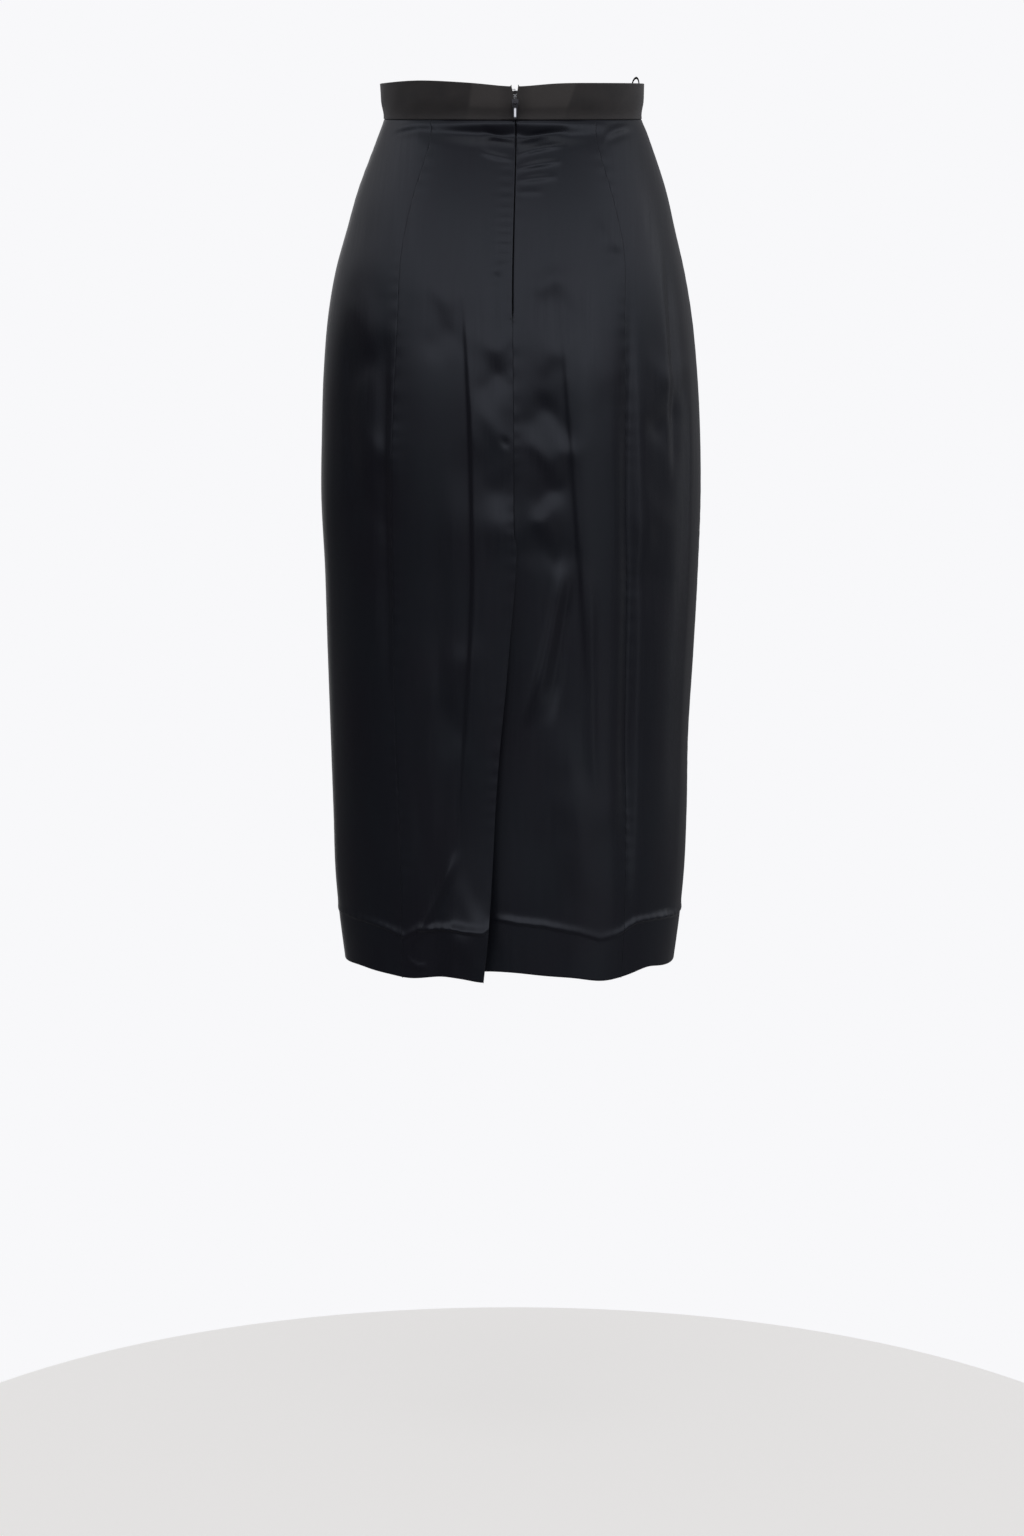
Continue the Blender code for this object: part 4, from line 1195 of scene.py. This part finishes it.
def woven_tape():
    """Polyester zip tape: flat black twill."""
    material, tree, shader = new_material("zip tape", Roughness=0.85)
    twill = node(
        tree,
        "ShaderNodeTexWave",
        {"Vector": thread_places(tree, 0.8, 0.8), "Scale": pi / 10.0},
        wave_type="BANDS",
        bands_direction="DIAGONAL",
    )
    dyed(tree, shader, twill.outputs["Fac"], "#0c0c0e", "#1a1a1d")
    in_relief(tree, shader, twill.outputs["Fac"], 0.4, 0.1)
    return material


def grained(name, dark, light, grain, low, high, **values):
    """A finish whose colour and gloss vary a little over grains of `grain` millimetres."""
    material, tree, shader = new_material(name, **values)
    places = node(tree, "ShaderNodeTexCoord").outputs["Object"]
    scale = 1.0 / (grain * MM)
    speckle = node(tree, "ShaderNodeTexNoise", {"Vector": places, "Scale": scale, "Detail": 3.0})
    dyed(tree, shader, speckle.outputs["Fac"], dark, light)
    gloss = node(tree, "ShaderNodeMapRange", (speckle.outputs["Fac"], 0.0, 1.0, low, high))
    tree.links.new(gloss.outputs["Result"], shader.inputs["Roughness"])
    return material


def pull_nickel_with_painted_highlight():
    """Black nickel plate with a painted highlight: a bright stripe down the pull's crowned middle, where its
    face catches the light.
    """
    material, tree, shader = new_material("zip pull nickel", Metallic=1.0, Roughness=0.14)
    places = node(tree, "ShaderNodeTexCoord").outputs["Object"]
    parts = node(tree, "ShaderNodeSeparateXYZ", {"Vector": places})
    across, up = parts.outputs["X"], parts.outputs["Z"]
    moved = node(tree, "ShaderNodeMath", (across, PULL_HIGHLIGHT_MIDDLE * MM), operation="SUBTRACT").outputs[0]
    aside = node(tree, "ShaderNodeMath", (moved,), operation="ABSOLUTE").outputs[0]
    edges = ((aside, PULL_HIGHLIGHT_SIDE, 1.0, 0.0), (up, PULL_HIGHLIGHT_FOOT, 0.0, 1.0), (up, PULL_HIGHLIGHT_TOP, 1.0, 0.0))
    # dcdee2 is the painted highlight, over the dark #2a2a2d plate
    colours = {0: patch(tree, edges), 6: linear("#2a2a2d"), 7: linear("#dcdee2")}
    plate = node(tree, "ShaderNodeMix", colours, data_type="RGBA")
    tree.links.new(plate.outputs[2], shader.inputs["Base Color"])
    return material


def stage_finish():
    """Painted board, off-white and almost matte, lit evenly from within as a light table is."""
    return new_material(
        "pale floor",
        Roughness=0.8,
        Base_Color=linear("#e6e5e3"),
        Emission_Color=linear("#f6f4f1"),
        Emission_Strength=0.45,
    )[0]


def make_stage():
    """A plain pale round floor far below the hem."""
    bm = bmesh.new()
    bmesh.ops.create_circle(bm, cap_ends=True, segments=128, radius=FLOOR_RADIUS)
    bmesh.ops.translate(bm, vec=FLOOR_PLACE, verts=bm.verts[:])
    mesh = bpy.data.meshes.new("floor")
    bm.to_mesh(mesh)
    bm.free()
    mesh.materials.append(stage_finish())
    floor = bpy.data.objects.new("floor", mesh)
    floor.visible_glossy = False
    bpy.context.scene.collection.objects.link(floor)


def make_lights():
    """Soft boxes: one over the camera, two upright ones at the right, one above and one for the front."""
    for light in LIGHTS:
        data = bpy.data.lights.new(light.name, "AREA")
        data.shape = "RECTANGLE"
        data.size = light.wide
        data.size_y = light.tall
        data.energy = light.power
        obj = bpy.data.objects.new(light.name, data)
        obj.location = (light.x, light.y, light.z)
        obj.rotation_euler = (LIGHT_AIM - obj.location).to_track_quat("-Z", "Y").to_euler()
        bpy.context.scene.collection.objects.link(obj)


def make_world():
    """A white studio behind. In the skirt's sheen: a bright wall over a dim floor, dimmest at its left."""
    world = bpy.data.worlds.new("studio")
    bpy.context.scene.world = world
    world.use_nodes = True
    tree = world.node_tree
    tree.nodes.clear()

    direction = node(tree, "ShaderNodeTexCoord").outputs["Generated"]
    parts = node(tree, "ShaderNodeSeparateXYZ", {"Vector": direction})
    across, back, up = (parts.outputs[axis] for axis in "XYZ")
    smooth = {"interpolation_type": "SMOOTHSTEP"}
    # The lit wall starts a little higher at both sides than behind the camera, and much higher far left
    left = node(tree, "ShaderNodeMapRange", (across, *FAR_LEFT, 0.0, -LEFT_RISE), **smooth).outputs[0]
    right = node(tree, "ShaderNodeMapRange", (across, *FAR_RIGHT, -RIGHT_RISE, 0.0), **smooth).outputs[0]
    far = node(tree, "ShaderNodeMath", (left, right), operation="ADD").outputs[0]
    aside = node(tree, "ShaderNodeMath", (across,), operation="ABSOLUTE").outputs[0]
    lower = node(tree, "ShaderNodeMath", (aside, -SIDE_RISE, far), operation="MULTIPLY_ADD").outputs[0]
    above = node(tree, "ShaderNodeMath", (up, lower), operation="ADD").outputs[0]
    upper = node(tree, "ShaderNodeMapRange", (above, *WALL_TOP, WALL, CEILING), **smooth).outputs[0]
    # It falls off towards the front, sooner at the right
    turned = node(tree, "ShaderNodeMath", (across, FALL_OFF_TURN, back), operation="MULTIPLY_ADD").outputs[0]
    fading = node(tree, "ShaderNodeMapRange", (turned, *FALL_OFF, BEHIND, 1.0), **smooth).outputs[0]
    lit = node(tree, "ShaderNodeMath", (upper, fading), operation="MULTIPLY").outputs[0]
    # Below it the floor is dim
    room = node(tree, "ShaderNodeMapRange", (across, *FLOOR_SPAN, DIM_RIGHT, DIM_LEFT), **smooth).outputs[0]
    in_wall = node(tree, "ShaderNodeMapRange", (above, *WALL_FOOT), **smooth).outputs[0]
    strength = node(tree, "ShaderNodeMix", {0: in_wall, 2: room, 3: lit})
    seen = node(tree, "ShaderNodeLightPath").outputs["Is Camera Ray"]
    backdrop = node(tree, "ShaderNodeBackground", {"Color": linear("#f8f8fa"), "Strength": 1.0})
    studio = {"Color": linear("#f5f5fa"), "Strength": strength.outputs[0]}
    around = node(tree, "ShaderNodeBackground", studio)
    mixed = node(tree, "ShaderNodeMixShader", {0: seen, 1: around.outputs[0], 2: backdrop.outputs[0]})
    node(tree, "ShaderNodeOutputWorld", {"Surface": mixed.outputs[0]})


def make_camera():
    """Behind the skirt at waist height, looking a little down."""
    data = bpy.data.cameras.new("camera")
    data.sensor_width = SENSOR
    data.lens = SENSOR * FOCAL_PIXELS / FRAME_TALL
    camera = bpy.data.objects.new("camera", data)
    camera.location = CAMERA_PLACE
    aim = Vector((0.0, -cos(CAMERA_PITCH), -sin(CAMERA_PITCH)))
    camera.rotation_euler = aim.to_track_quat("-Z", "Y").to_euler()
    bpy.context.scene.collection.objects.link(camera)
    bpy.context.scene.camera = camera


def repaint(name, material):
    """Gives a solid that stays its finish."""
    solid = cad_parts[name]
    solid.data.materials.clear()
    solid.data.materials.append(material)


def main():
    make_camera()
    make_world()
    make_lights()
    make_stage()
    satin = [satin_face(), satin_back()]
    ribbon = ribbed_ribbon()
    tape = woven_tape()
    thread = grained("sewing thread", "#0d0e11", "#1c1e22", 0.3, 0.5, 0.7)
    nylon = grained("nylon coil", "#08080a", "#141417", 0.8, 0.3, 0.4)
    nickel = grained("black nickel", "#3a3a3d", "#4c4c50", 1.2, 0.16, 0.26, Metallic=1.0)
    steel = grained("bright steel wire", "#e2e4e8", "#fafbfd", 0.6, 0.12, 0.2, Metallic=1.0)
    half_gap = CLOSED_GAP / 2
    panel(
        "back_left",
        flap_edge_arc,
        lambda height: back_seam_arc(height, 1.0) - half_gap,
        FINE,
        satin,
        flap_lift,
        FLAP_HEM,
    )
    make_right_back(satin)
    panel(
        "side_back_left",
        lambda height: back_seam_arc(height, 1.0) + half_gap,
        lambda height: side_arc(height) - half_gap,
        FINE,
        satin,
    )
    panel(
        "side_back_right",
        lambda height: half_gap - side_arc(height),
        lambda height: back_seam_arc(height, -1.0) - half_gap,
        FINE,
        satin,
    )
    panel(
        "front",
        lambda height: side_arc(height) + half_gap,
        lambda height: full_arc(height) - side_arc(height) - half_gap,
        COARSE,
        satin,
    )
    make_waistband([ribbon])
    make_zip_tape(1.0, [tape])
    make_zip_tape(-1.0, [tape])
    make_zip_coil(nylon)
    make_top_stops(steel)
    make_bar_tack(thread)
    make_hem_stitches(thread)
    make_hanging_loop(satin[0])
    repaint("zip_slider", nickel)
    repaint("zip_pull", pull_nickel_with_painted_highlight())
    repaint("hook", steel)
    repaint("eye", steel)
    bpy.context.scene.view_settings.view_transform = "Standard"


main()
